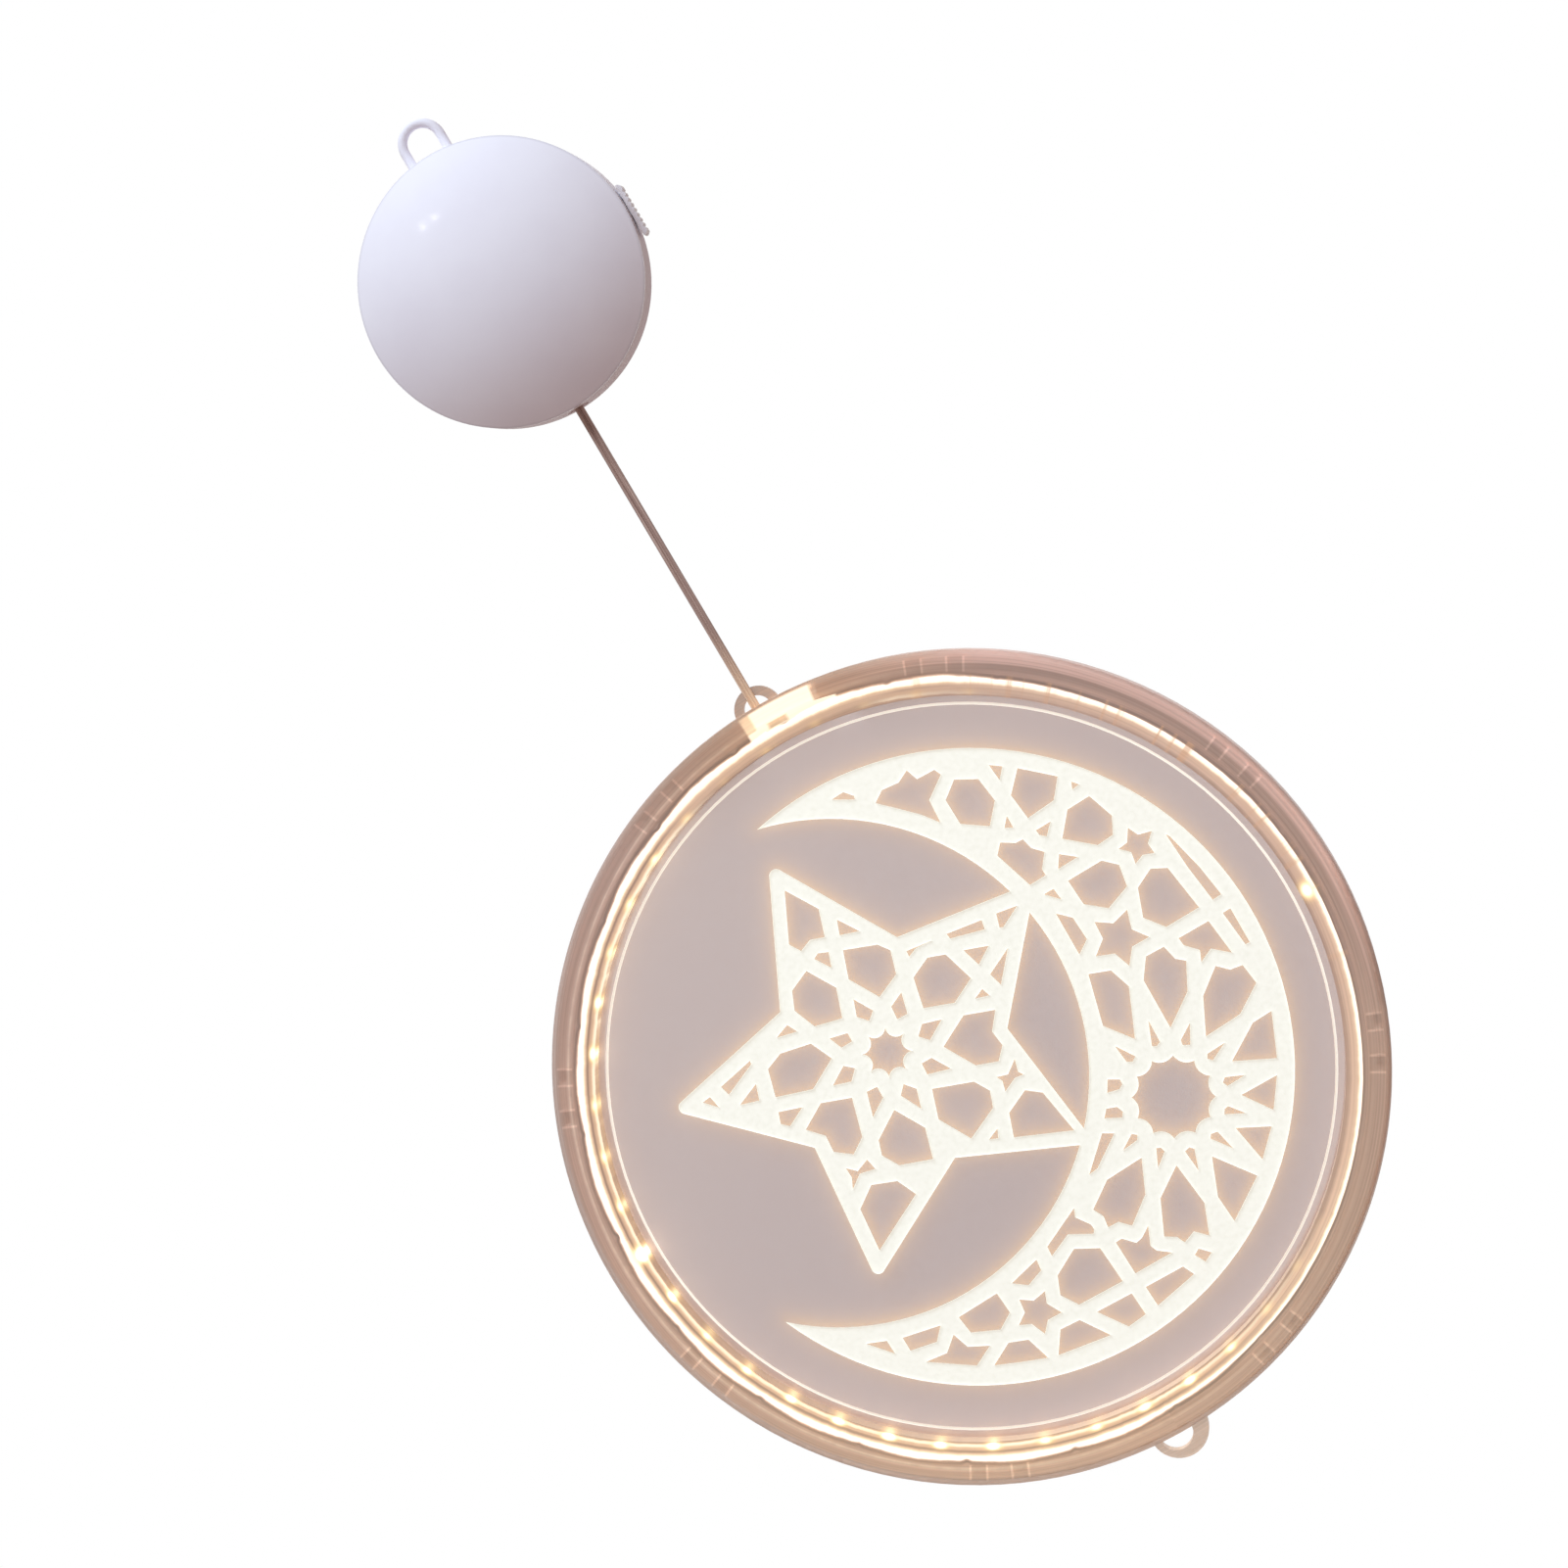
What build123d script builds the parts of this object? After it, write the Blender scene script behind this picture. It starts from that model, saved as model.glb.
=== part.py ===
import os
from math import asin, cos, degrees, radians, sin, sqrt

from build123d import *

os.makedirs("parts", exist_ok=True)

# Sizes are in millimetres. The origin is the middle of the hanging eye, Z is up and -Y is the front.

# Hanging eye on the battery box
eye_radius = 3.35
loop_rod = 2.1
eye_above_box = 3.8

# Battery box
box_wall = 1.4
box_corner_wall = 0.75
seam_y = -5.0
back_y = 7.0
back_round = 3.0
cover_skirt = 0.8
dome_rise = 9.0
tongue_wall = 0.6
tongue_height = 1.0
lap_gap = 0.1
inner_gap = 0.3

# Three AAA cells side by side and their cradle
cell_diameter = 10.5
cell_length = 44.5
cell_round = 0.5
button_diameter = 3.8
button_height = 0.8
cell_pitch = 11.0
cell_gap = 0.15
cradle_wall = 1.1
cradle_depth = 5.4
ridge_y = -2.0

# Battery contacts
contact_sheet = 0.4
contact_width = 8.0
contact_front = -4.0
contact_rear = 3.0
contact_gap = 0.1
dimple_height = 0.3
dimple_radius = 1.6
leaf_height = 1.9
leaf_width = 5.0
leaf_inset = 0.6
leaf_lift = 0.3
leaf_gap = 0.05

# Battery door
door_gap = 0.2
door_seat_gap = 0.1
door_thickness = 1.4
tab_across = 5.5
tab_width = 4.0
tab_thickness = 1.4
tab_reach = 1.6
tab_root = 2.2
grip_length = 10.0
grip_width = 1.2
grip_depth = 0.5
grip_pitch = 2.4
grip_count = 3
grip_up = 6.0

# Case screws
screw_beside = 3.5
screw_spread = 27.0
screw_radius = 1.1
screw_bite = 3.4
screw_pilot_gap = 0.05
screw_tip_gap = 0.2
screw_head_radius = 2.1
screw_head_height = 1.5
screw_slot = 0.6
screw_slot_length = 2.9
screw_slot_depth = 0.8
screw_recess = 2.0
post_wall = 0.55
boss_radius = 2.6
screw_gap = 0.25

# Slide switch on the right of the box
switch_y = -0.8
switch_travel = 2.0
switch_body_length = 8.6
switch_body_width = 4.0
switch_body_height = 4.0
switch_slot_depth = 1.4
stem_length = 2.4
stem_width = 2.0
stem_entry = 1.2
stem_gap = 0.15
switch_wall = 1.2
switch_seat_gap = 0.05
knob_length = 12.2
knob_width = 4.4
knob_height = 1.1
knob_gap = 0.2
knob_ribs = 9
knob_groove = 0.35
knob_land = 0.42
knob_corner = 0.6

# Hanging cord with a knot inside the box
lead_radius = 0.52
lead_pitch = 1.0
cord_free = 74.65
outlet_gap = 0.98
outlet_flare = 0.7
knot_catch = 0.6
knot_gap = 0.1

# Clear ring in two halves
ring_radius = 90.0
ring_face_width = 9.7
ring_half_depth = 6.2
ring_lip = 1.5
ring_wall = 1.6
ring_rib = 1.3
ring_round = 1.5
channel_width = 2.9
strip_wall = 1.2
strip_wall_gap = 0.3
cord_hole_gap = 0.25

# Snap hooks that join the halves
hook_stations = 8
hook_first = 26.0
hook_pair = 5.9
hook_width = 3.6
hook_wall = 1.2
hook_gap = 0.3
hook_reach = 3.4
hook_nose = 0.7
hook_nose_length = 1.6
hook_catch_gap = 0.2

# Loops on the ring
top_loop_outer = 5.2
top_loop_inner = 3.15
top_loop_sink = 0.8
top_loop_front = 0.8
top_loop_rear = 2.8
bottom_loop_outer = 6.45
bottom_loop_inner = 3.8
bottom_loop_sink = 1.05
bottom_eye_sink = 0.6
bottom_eye_left = 1.1
bottom_loop_front = -5.2
bottom_loop_rear = -2.2
loop_root = 1.0

# Light strip
led_count = 43
led_first = 15.0
led_length = 3.5
led_width = 2.8
led_height = 0.8
led_gap = 0.02
strip_width = 8.0
strip_thickness = 0.3
strip_gap = 0.1
strip_start = 12.6
strip_end = 356.0
strip_lead_radius = 0.45
strip_lead_spread = 1.2
strip_lead_gap = 0.5
anchor_start = -2.7
anchor_end = 8.3
anchor_gap = 0.1
anchor_width = 8.8
cord_end_gap = 0.4

# Engraved panel
panel_edge_gap = 0.5
panel_half = 1.5
engraving_depth = 0.4
border_inset = 1.85
border_width = 0.6

# Crescent and star, on the ornament's own axes with the crescent open to the left
ornament_turn = -30.34
ornament_view = 6.7  # how far the panel turns away in the picture that the places below come from
ornament_right = 0.6
ornament_down = 0.15
crescent_radius = 68.65
crescent_bite_radius = 55.07
crescent_bite = (-29.9, -1.55)
star_tip_round = 1.5
star_outline = [
    (-43.4, 43.9), (-15.8, 28.0), (13.8, 40.0), (7.75, 8.4), (26.5, -16.3),
    (-3.5, -19.6), (-20.3, -46.6), (-33.7, -17.6), (-64.7, -9.7), (-41.0, 11.8),
]
star_rosette = dict(middle=(-18.0, 3.1), points=8, tip=5.5, lobe=3.75, turn=4.5)
crescent_rosette = dict(middle=(43.1, -6.2), points=12, tip=8.95, lobe=7.75, turn=1.0)

# Gaps in the star's strapwork, each by its corners
star_gaps = [
    [(-39.9, 38.1), (-32.6, 34.1), (-31.3, 28.0), (-34.5, 27.4), (-36.4, 25.0), (-39.0, 26.4)],
    [(-28.7, 31.8), (-23.8, 29.3), (-28.1, 28.4)],
    [(-33.6, 23.3), (-32.8, 24.5), (-30.5, 24.8), (-29.9, 21.4)],
    [(-35.3, 20.7), (-28.9, 17.1), (-27.6, 10.5), (-33.6, 8.7), (-37.9, 12.1), (-38.4, 16.4)],
    [(-27.4, 25.2), (-20.0, 26.4), (-17.2, 25.2), (-16.0, 20.0), (-19.6, 15.1), (-26.2, 18.9)],
    [(-41.8, 6.2), (-39.5, 9.0), (-37.3, 7.6)],
    [(-30.4, 6.1), (-26.5, 7.3), (-25.5, 5.5), (-27.8, 4.1)],
    [(-25.2, 14.6), (-21.0, 12.2), (-21.8, 9.9), (-24.5, 10.8)],
    [(-34.4, 5.0), (-29.9, 1.8), (-34.0, -4.9), (-42.1, -6.7), (-43.7, -0.6), (-41.0, 2.8)],
    [(-53.9, -4.5), (-47.6, 1.2), (-47.3, 0.5), (-52.2, -6.2)],
    [(-46.3, -3.8), (-45.6, -7.4), (-49.8, -8.4)],
    [(-57.9, -7.9), (-56.3, -6.7), (-54.3, -9.0)],
    [(-41.5, -9.9), (-36.3, -8.8), (-39.0, -13.0), (-41.0, -12.5)],
    [
        (-32.3, -7.9), (-25.6, -6.7), (-23.4, -15.2), (-25.3, -19.0), (-29.6, -18.5), (-31.3, -15.0),
        (-35.6, -13.7),
    ],
    [(-29.7, -4.1), (-27.4, 0.2), (-24.9, -0.3), (-25.7, -3.2)],
    [(-22.4, -5.4), (-20.2, -4.3), (-18.9, -6.6), (-21.1, -10.9)],
    [(-9.3, 23.6), (-5.4, 24.3), (0.0, 19.2), (-3.5, 13.9), (-10.2, 12.7), (-12.3, 19.3)],
    [(-13.8, 25.0), (-8.4, 27.3), (-11.8, 25.6), (-13.2, 23.8)],
    [(-5.2, 28.7), (2.3, 31.7), (3.0, 29.7), (-4.4, 27.7)],
    [(-1.6, 25.2), (3.8, 26.2), (1.7, 22.1)],
    [(5.4, 33.1), (9.9, 34.8), (6.9, 30.1), (6.1, 30.1)],
    [(7.9, 25.7), (6.4, 17.8), (4.1, 20.0)],
    [(0.9, 14.8), (2.4, 16.9), (4.0, 15.5)],
    [(-10.5, 9.3), (-6.3, 10.3), (-8.8, 5.8), (-11.3, 6.6)],
    [(-14.9, 16.1), (-13.6, 11.5), (-15.8, 10.3), (-17.1, 13.0)],
    [(-1.6, 11.2), (5.2, 12.4), (4.5, 7.7), (6.7, 4.8), (5.9, 1.3), (1.0, 0.4), (-5.9, 4.4)],
    [(-10.6, 0.8), (-8.5, 2.0), (-4.3, -0.3), (-9.4, -1.6)],
    [(9.3, 1.8), (10.0, -0.9), (11.2, -1.5), (9.3, -2.3), (7.3, -5.2), (6.7, -2.9), (5.4, -2.1), (7.9, -1.5)],
    [(-8.4, -4.7), (0.6, -3.1), (4.0, -5.0), (4.7, -8.7), (0.0, -15.4), (-7.0, -11.3)],
    [(11.5, -4.9), (15.3, -5.4), (22.0, -13.5), (9.1, -15.1), (8.1, -9.8)],
    [(5.6, -13.2), (5.8, -15.3), (3.8, -15.6)],
    [(-14.5, -3.7), (-11.7, -4.7), (-10.7, -9.0), (-15.1, -6.2)],
    [(-16.5, -9.3), (-9.9, -13.1), (-8.2, -19.9), (-15.5, -21.3), (-19.2, -19.2), (-19.9, -15.9)],
    [
        (-27.0, -22.0), (-24.4, -22.6), (-22.4, -20.1), (-20.6, -22.1), (-24.0, -23.2), (-25.5, -26.6),
        (-25.7, -24.0),
    ],
    [(-21.5, -25.6), (-15.9, -24.7), (-11.9, -27.5), (-19.8, -39.8), (-23.9, -30.9)],
]

# Gaps in the crescent's strapwork, from the upper tip round to the lower one
crescent_gaps = [
    [(-29.7, 57.6), (-27.2, 59.2), (-24.9, 58.4), (-24.7, 57.6)],
    [
        (-20.3, 56.8), (-18.9, 59.6), (-15.3, 61.2), (-13.6, 63.8), (-11.4, 61.9), (-7.7, 63.9),
        (-6.3, 62.9), (-8.8, 57.4), (-6.4, 52.6), (-10.5, 54.3), (-15.0, 55.5),
    ],
    [(-3.5, 61.8), (1.7, 61.9), (5.2, 57.3), (4.1, 51.8), (-2.2, 52.3), (-5.3, 57.4)],
    [(3.9, 64.9), (6.8, 64.6), (6.2, 61.6)],
    [(10.0, 64.2), (18.5, 62.4), (17.7, 57.3), (12.2, 53.5), (8.6, 58.4)],
    [(21.4, 61.3), (23.1, 60.7), (21.6, 59.6)],
    [(20.6, 55.3), (25.2, 58.2), (30.0, 54.0), (30.2, 49.9), (27.0, 47.7), (19.5, 49.1)],
    [
        (33.4, 51.4), (35.5, 49.9), (38.4, 50.7), (37.6, 48.0), (39.0, 46.0), (36.5, 45.6),
        (35.0, 43.7), (34.1, 46.2), (31.4, 46.9), (33.2, 48.2),
    ],
    [(7.7, 54.0), (9.1, 51.5), (7.2, 51.4)],
    [(13.9, 50.9), (17.0, 52.8), (16.2, 49.6), (14.6, 49.9)],
    [
        (6.3, 48.3), (9.6, 48.2), (11.1, 49.0), (12.9, 47.1), (15.7, 46.3), (15.2, 42.5),
        (16.0, 41.3), (12.6, 39.2), (5.7, 45.5),
    ],
    [(18.8, 45.8), (22.8, 45.2), (18.6, 42.6)],
    [(27.8, 44.4), (31.5, 43.5), (33.2, 38.9), (29.3, 34.2), (24.0, 35.1), (20.7, 40.1)],
    [(15.6, 37.2), (17.6, 38.4), (19.3, 36.1)],
    [(18.1, 33.1), (21.7, 32.2), (24.7, 27.6), (23.1, 24.3)],
    [(38.2, 42.7), (41.8, 42.8), (48.4, 34.4), (41.5, 30.2), (36.6, 32.2), (35.5, 38.6)],
    [(41.3, 50.1), (42.3, 49.5), (48.5, 43.0), (53.1, 37.2), (51.3, 36.0), (46.0, 43.0)],
    [(53.4, 33.2), (55.0, 34.2), (59.1, 27.0), (58.2, 26.5)],
    [
        (26.3, 31.3), (30.3, 31.0), (33.2, 33.9), (34.2, 29.7), (37.9, 28.1), (34.3, 26.0),
        (33.7, 21.9), (30.6, 24.5), (26.6, 23.9), (28.1, 27.7),
    ],
    [(44.1, 27.8), (50.4, 31.5), (55.4, 24.7), (50.9, 25.6), (48.9, 22.7), (48.6, 25.3), (45.2, 26.3)],
    [(41.0, 26.0), (43.4, 23.4), (45.7, 23.0), (46.0, 16.4), (42.4, 8.6), (36.7, 18.8), (37.2, 23.9)],
    [(25.0, 20.1), (29.8, 20.9), (33.6, 17.5), (34.9, 6.2), (28.1, 9.0)],
    [(51.9, 21.9), (55.0, 21.1), (57.6, 22.1), (60.5, 18.3), (57.1, 11.6), (49.9, 6.8), (49.3, 15.5)],
    [(63.7, 12.3), (59.8, 9.8), (55.4, 1.5), (64.9, 2.2)],
    [(37.7, 10.2), (40.2, 5.6), (39.5, 4.7), (38.5, 4.6)],
    [(46.5, 9.7), (46.6, 5.0), (45.0, 4.9), (44.6, 6.0)],
    [(30.6, 4.7), (35.0, 2.5), (34.4, 1.3), (33.1, 1.3)],
    [(53.9, 5.5), (51.4, 1.7), (50.2, 2.0), (50.2, 3.1)],
    [(29.1, -2.5), (31.7, -2.5), (32.2, -3.5), (31.6, -4.6), (29.0, -5.4)],
    [(28.8, -8.8), (31.1, -8.4), (32.3, -9.4), (32.2, -10.7), (28.4, -10.9)],
    [(58.2, -1.4), (54.5, -3.8), (53.5, -3.1), (53.9, -1.9)],
    [(54.6, -8.1), (58.4, -9.6), (53.8, -9.9), (53.9, -8.7)],
    [(64.9, -1.4), (64.2, -8.9), (57.4, -5.7)],
    [(56.2, -12.8), (63.8, -12.4), (61.9, -19.5)],
    [(51.0, -14.1), (52.4, -13.6), (55.7, -17.2), (50.9, -15.1)],
    [(45.5, -17.9), (46.4, -17.0), (47.5, -17.3), (48.4, -22.0)],
    [(39.4, -17.2), (40.4, -17.1), (41.2, -17.9), (39.8, -21.5)],
    [(34.2, -14.2), (35.4, -14.4), (35.4, -15.5), (32.3, -17.8)],
    [(27.9, -14.1), (30.5, -14.1), (26.9, -21.7), (25.2, -23.0)],
    [
        (36.3, -19.3), (37.1, -27.2), (34.3, -34.0), (31.4, -33.2), (29.2, -34.4), (28.2, -32.0),
        (26.0, -30.6), (29.0, -24.1),
    ],
    [
        (43.7, -20.9), (49.6, -28.9), (50.7, -36.0), (47.4, -35.1), (45.5, -37.5), (43.9, -36.4),
        (41.1, -36.3), (40.3, -28.0),
    ],
    [(51.2, -18.9), (60.8, -23.0), (56.0, -32.8), (52.5, -27.6)],
    [
        (30.8, -37.6), (32.1, -36.8), (35.2, -37.7), (36.4, -36.6), (37.7, -34.0), (38.2, -38.3),
        (39.5, -39.3), (42.8, -39.7), (35.0, -44.3),
    ],
    [(48.4, -38.8), (51.2, -39.6), (49.9, -41.6), (47.6, -40.2)],
    [
        (21.9, -30.3), (22.2, -32.3), (25.5, -33.8), (26.2, -34.8), (26.1, -35.8), (20.6, -36.0),
        (17.2, -40.7), (16.2, -38.7),
    ],
    [(13.9, -41.5), (14.9, -43.8), (12.2, -47.1), (8.6, -46.7)],
    [(21.9, -39.1), (27.5, -38.9), (32.3, -46.0), (23.0, -51.2), (19.0, -49.2), (18.4, -44.9)],
    [
        (15.7, -48.3), (16.1, -51.0), (19.3, -52.9), (16.3, -54.6), (15.7, -57.6), (12.9, -55.5),
        (10.1, -55.8), (11.4, -53.0), (10.2, -50.2), (13.3, -50.4),
    ],
    [(37.2, -47.2), (45.1, -42.7), (47.5, -44.3), (39.8, -51.2)],
    [(34.2, -48.6), (37.2, -53.1), (33.6, -55.8), (26.8, -52.7)],
    [(23.1, -54.5), (29.8, -57.7), (18.6, -62.2), (19.0, -56.6)],
    [(7.9, -59.6), (12.2, -58.9), (16.4, -62.8), (10.5, -63.8), (4.8, -64.6)],
    [(5.4, -48.9), (8.2, -53.0), (6.2, -56.8), (-0.2, -57.5), (-2.8, -54.2)],
    [(-3.9, -58.0), (-0.9, -60.6), (3.9, -60.3), (1.1, -64.7), (-9.9, -64.0), (-5.3, -62.0)],
    [(-6.7, -56.0), (-7.5, -59.6), (-13.2, -61.6), (-14.9, -58.8)],
    [(-22.8, -60.2), (-18.3, -59.5), (-16.5, -62.3)],
]

# Places that follow from the sizes
cradle_half_x = cell_pitch + cell_diameter / 2 + cell_gap
cradle_half_z = (cell_length + 2 * contact_sheet + dimple_height + leaf_height) / 2
trough_radius = cell_diameter / 2 + cell_gap
door_half_x = cradle_half_x + cradle_wall
door_half_z = cradle_half_z + cradle_wall
box_radius = sqrt(door_half_x**2 + door_half_z**2) + box_corner_wall
box_inner = box_radius - box_wall
box_z = -(eye_above_box + box_radius)
plate_y = back_y - box_wall
apex_y = seam_y - cover_skirt - dome_rise
door_corner = box_radius - back_round + door_gap
door_front = cradle_depth + door_seat_gap
door_back = door_front + door_thickness
tab_back = plate_y - door_gap
tab_front = tab_back - tab_thickness
screw_x = door_half_x + screw_beside
screw_places = [(-screw_x, 0), (screw_x, screw_spread / 2), (screw_x, -screw_spread / 2)]
screw_seat = back_y - screw_recess - screw_head_height
post_front = seam_y + tongue_height
cord_half = lead_pitch / 2 + lead_radius
outlet_radius = cord_half + outlet_gap
flare_radius = outlet_radius + outlet_flare
knot_radius = outlet_radius + knot_catch
knot_z = box_z - box_inner + sqrt(knot_radius**2 - outlet_radius**2) + knot_gap
switch_face_x = sqrt(box_inner**2 - (switch_body_length / 2) ** 2) - inner_gap
switch_back_x = switch_face_x - switch_body_height
switch_front = switch_y - switch_body_width / 2
switch_rear = switch_y + switch_body_width / 2
stem_slot_z = stem_length / 2 + switch_travel / 2 + stem_gap
stem_slot_y = stem_width / 2 + stem_gap
ring_z = box_z - box_radius - cord_free - ring_radius
ring_inner = ring_radius - ring_face_width
lip_y = ring_half_depth - ring_lip
wall_inner = ring_radius - ring_wall
strip_wall_outer = wall_inner - channel_width
strip_wall_inner = strip_wall_outer - strip_wall
strip_outer = strip_wall_inner - strip_gap
strip_inner = strip_outer - strip_thickness
hook_outer = wall_inner - hook_gap
led_outer = sqrt(strip_inner**2 - (led_length / 2) ** 2) - led_gap
panel_radius = strip_inner - led_height - panel_edge_gap
border_radius = ring_inner - border_inset
beyond = 5.0
upright = (Align.CENTER, Align.CENTER, Align.MIN)


def from_front(sketch, front, rear, x=0.0, z=0.0):
    """A sketch seen from the front, given depth between two Y places."""
    plane = Plane(origin=(x, rear, z), x_dir=(1, 0, 0), z_dir=(0, -1, 0))
    return extrude(plane * sketch, amount=rear - front)


def turned(corners, z, sweep=360.0, start=0.0):
    """A profile of radius and Y, turned about the front-to-back axis at height z, clockwise from the top."""
    profile = make_face(Polyline(*corners, close=True))
    return at_angle(revolve(profile, Axis.Y, sweep), start - 90, z)


def at_angle(solid, angle, z):
    """Turns what lies on +X clockwise, seen from the front, and puts it round height z."""
    return Pos(0, 0, z) * Rot(0, angle, 0) * solid


def block(x_range, y_range, z_range):
    """A box between two places on each axis."""
    size = [b - a for a, b in (x_range, y_range, z_range)]
    middle = [(a + b) / 2 for a, b in (x_range, y_range, z_range)]
    return Pos(*middle) * Box(*size)


def save(name, *solids):
    """Writes one node."""
    shape = solids[0] if len(solids) == 1 else Compound(label=name, children=list(solids))
    shape.label = name
    export_step(shape, f"parts/{name}.step")


def dome_radius():
    return (box_radius**2 + dome_rise**2) / (2 * dome_rise)


def dome_face(shrink, rim_radius, rim_points):
    """Half section under the dome's surface moved in by a wall, closed by points from the rim to the axis."""
    radius = dome_radius() - shrink
    middle_y = apex_y + dome_radius()
    rim_y = middle_y - sqrt(radius**2 - rim_radius**2)
    half = asin(rim_radius / radius) / 2
    top = (0, middle_y - radius)
    crown = (radius * sin(half), middle_y - radius * cos(half))
    arc = ThreePointArc(top, crown, (rim_radius, rim_y))
    line = Polyline((rim_radius, rim_y), *rim_points, top)
    return make_face(arc + line)


def box_cover():
    tongue_y = seam_y + tongue_height
    outside = dome_face(0, box_radius, [(box_radius, seam_y), (0, seam_y)])
    lap = box_inner + tongue_wall
    tongue = Polygon((0, seam_y), (lap, seam_y), (lap, tongue_y), (0, tongue_y), align=None)
    inside = dome_face(box_wall, box_inner, [(box_inner, tongue_y), (0, tongue_y)])
    shell = Pos(0, 0, box_z) * revolve(outside + tongue - inside, Axis.Y)
    room = Pos(0, 0, box_z) * revolve(outside, Axis.Y)
    pilot_end = post_front - screw_bite - screw_tip_gap
    for x, z in screw_places:
        boss = from_front(Circle(boss_radius), apex_y, seam_y, x, box_z + z) & room
        boss = boss + from_front(Circle(boss_radius), seam_y, post_front, x, box_z + z)
        pilot = from_front(Circle(screw_radius + screw_pilot_gap), pilot_end, post_front, x, box_z + z)
        shell = shell + boss - pilot
    return shell


def cradle_profile(grow, rear):
    """Section of the cell cradle: three troughs, low ridges between them and straight sides behind."""
    radius = trough_radius + grow
    reach = cell_pitch + radius
    profile = Polygon((-reach, 0), (reach, 0), (reach, rear), (-reach, rear), align=None)
    profile = profile + Pos(0, ridge_y / 2) * Rectangle(2 * cell_pitch, -ridge_y)
    for place in (-cell_pitch, 0, cell_pitch):
        profile = profile + Pos(place, 0) * Circle(radius)
    return profile - Pos(0, rear + beyond / 2) * Rectangle(4 * reach, beyond)


def cradle(grow, half_length, rear):
    return Pos(0, 0, box_z - half_length) * extrude(cradle_profile(grow, rear), amount=2 * half_length)


def door_outline(gap):
    frame = Rectangle(2 * (door_half_x - gap), 2 * (door_half_z - gap))
    return frame & Circle(door_corner - gap)


def hang_loop():
    middle = eye_radius + loop_rod / 2
    arch = ThreePointArc((-middle, 0), (0, middle), (middle, 0))
    foot = -(eye_above_box + box_wall)
    path = Line((-middle, foot), (-middle, 0)) + arch + Line((middle, 0), (middle, foot))
    path = Plane.XZ * path
    start = Plane(origin=(-middle, 0, foot), x_dir=(1, 0, 0), z_dir=(0, 0, 1))
    return sweep(start * Circle(loop_rod / 2), path=path)


def box_tray():
    flat = box_radius - back_round
    slant = cos(radians(45))
    outer_mid = (flat + back_round * slant, back_y - back_round + back_round * slant)
    inner_round = back_round - box_wall
    inner_mid = (flat + inner_round * slant, back_y - back_round + inner_round * slant)
    lap = box_inner + tongue_wall + lap_gap
    lap_y = seam_y + tongue_height + lap_gap
    section = make_face(
        Polyline((0, plate_y), (0, back_y), (flat, back_y))
        + ThreePointArc((flat, back_y), outer_mid, (box_radius, back_y - back_round))
        + Polyline(
            (box_radius, back_y - back_round), (box_radius, seam_y), (lap, seam_y), (lap, lap_y),
            (box_inner, lap_y), (box_inner, back_y - back_round),
        )
        + ThreePointArc((box_inner, back_y - back_round), inner_mid, (flat, plate_y))
        + Line((flat, plate_y), (0, plate_y))
    )
    tray = Pos(0, 0, box_z) * revolve(section, Axis.Y)
    room = revolve(dome_face(box_wall + inner_gap, box_inner - inner_gap, inside_rim()), Axis.Y)
    tray = tray + (cradle(cradle_wall, door_half_z, plate_y) & (Pos(0, 0, box_z) * room))
    for x, z in screw_places:
        post = Circle(screw_head_radius + screw_gap + post_wall)
        tray = tray + from_front(post, post_front, plate_y + box_wall / 2, x, box_z + z)
    tray = tray + switch_cradle()
    tray = tray - cradle(0, cradle_half_z, plate_y)
    tray = tray - from_front(door_outline(0), cradle_depth, back_y + beyond, 0, box_z)
    tray = tray - tab_room()
    for x, z in screw_places:
        shaft = from_front(Circle(screw_radius + screw_gap), post_front - beyond, back_y, x, box_z + z)
        head = from_front(Circle(screw_head_radius + screw_gap), screw_seat, back_y + beyond, x, box_z + z)
        tray = tray - shaft - head
    tray = tray - switch_pocket() - cord_outlet()
    return tray + (hang_loop() - from_front(Circle(box_inner), -loop_rod, loop_rod, 0, box_z))


def inside_rim():
    """Closes the room behind the dome at the tray's plate."""
    return [(box_inner - inner_gap, seam_y), (box_radius - box_wall / 2, seam_y + tongue_height + inner_gap),
            (box_radius - box_wall / 2, plate_y), (0, plate_y)]


def tab_room():
    """Room in the cradle's upper end for the door's tabs as the door swings."""
    swing = door_back - tab_front + tab_reach
    heights = (box_z + cradle_half_z, box_z + door_half_z)
    half = tab_width / 2 + door_gap
    depths = (door_back - swing, cradle_depth)
    left, right = [block((x - half, x + half), depths, heights) for x in (-tab_across, tab_across)]
    return left + right


def battery_door():
    door = from_front(door_outline(door_gap), door_front, door_back, 0, box_z)
    edge = box_z + door_half_z - door_gap
    for x in (-tab_across, tab_across):
        across = (x - tab_width / 2, x + tab_width / 2)
        root = block(across, (tab_front, door_front), (edge - tab_root, edge))
        tab = block(across, (tab_front, tab_back), (edge - tab_root, edge + door_gap + tab_reach))
        door = door + root + tab
    for place in range(grip_count):
        z = box_z - door_half_z + grip_up + place * grip_pitch
        groove = SlotOverall(grip_length, grip_width)
        door = door - from_front(groove, door_back - grip_depth, door_back + beyond, 0, z)
    return door


def case_screw(x, z):
    tip = post_front - screw_bite
    top = screw_seat + screw_head_height
    head = from_front(Circle(screw_head_radius), screw_seat, top, x, box_z + z)
    shaft = from_front(Circle(screw_radius), tip, screw_seat, x, box_z + z)
    slot = Rectangle(screw_slot_length, screw_slot) + Rectangle(screw_slot, screw_slot_length)
    return head + shaft - from_front(slot, top - screw_slot_depth, back_y, x, box_z + z)


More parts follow.
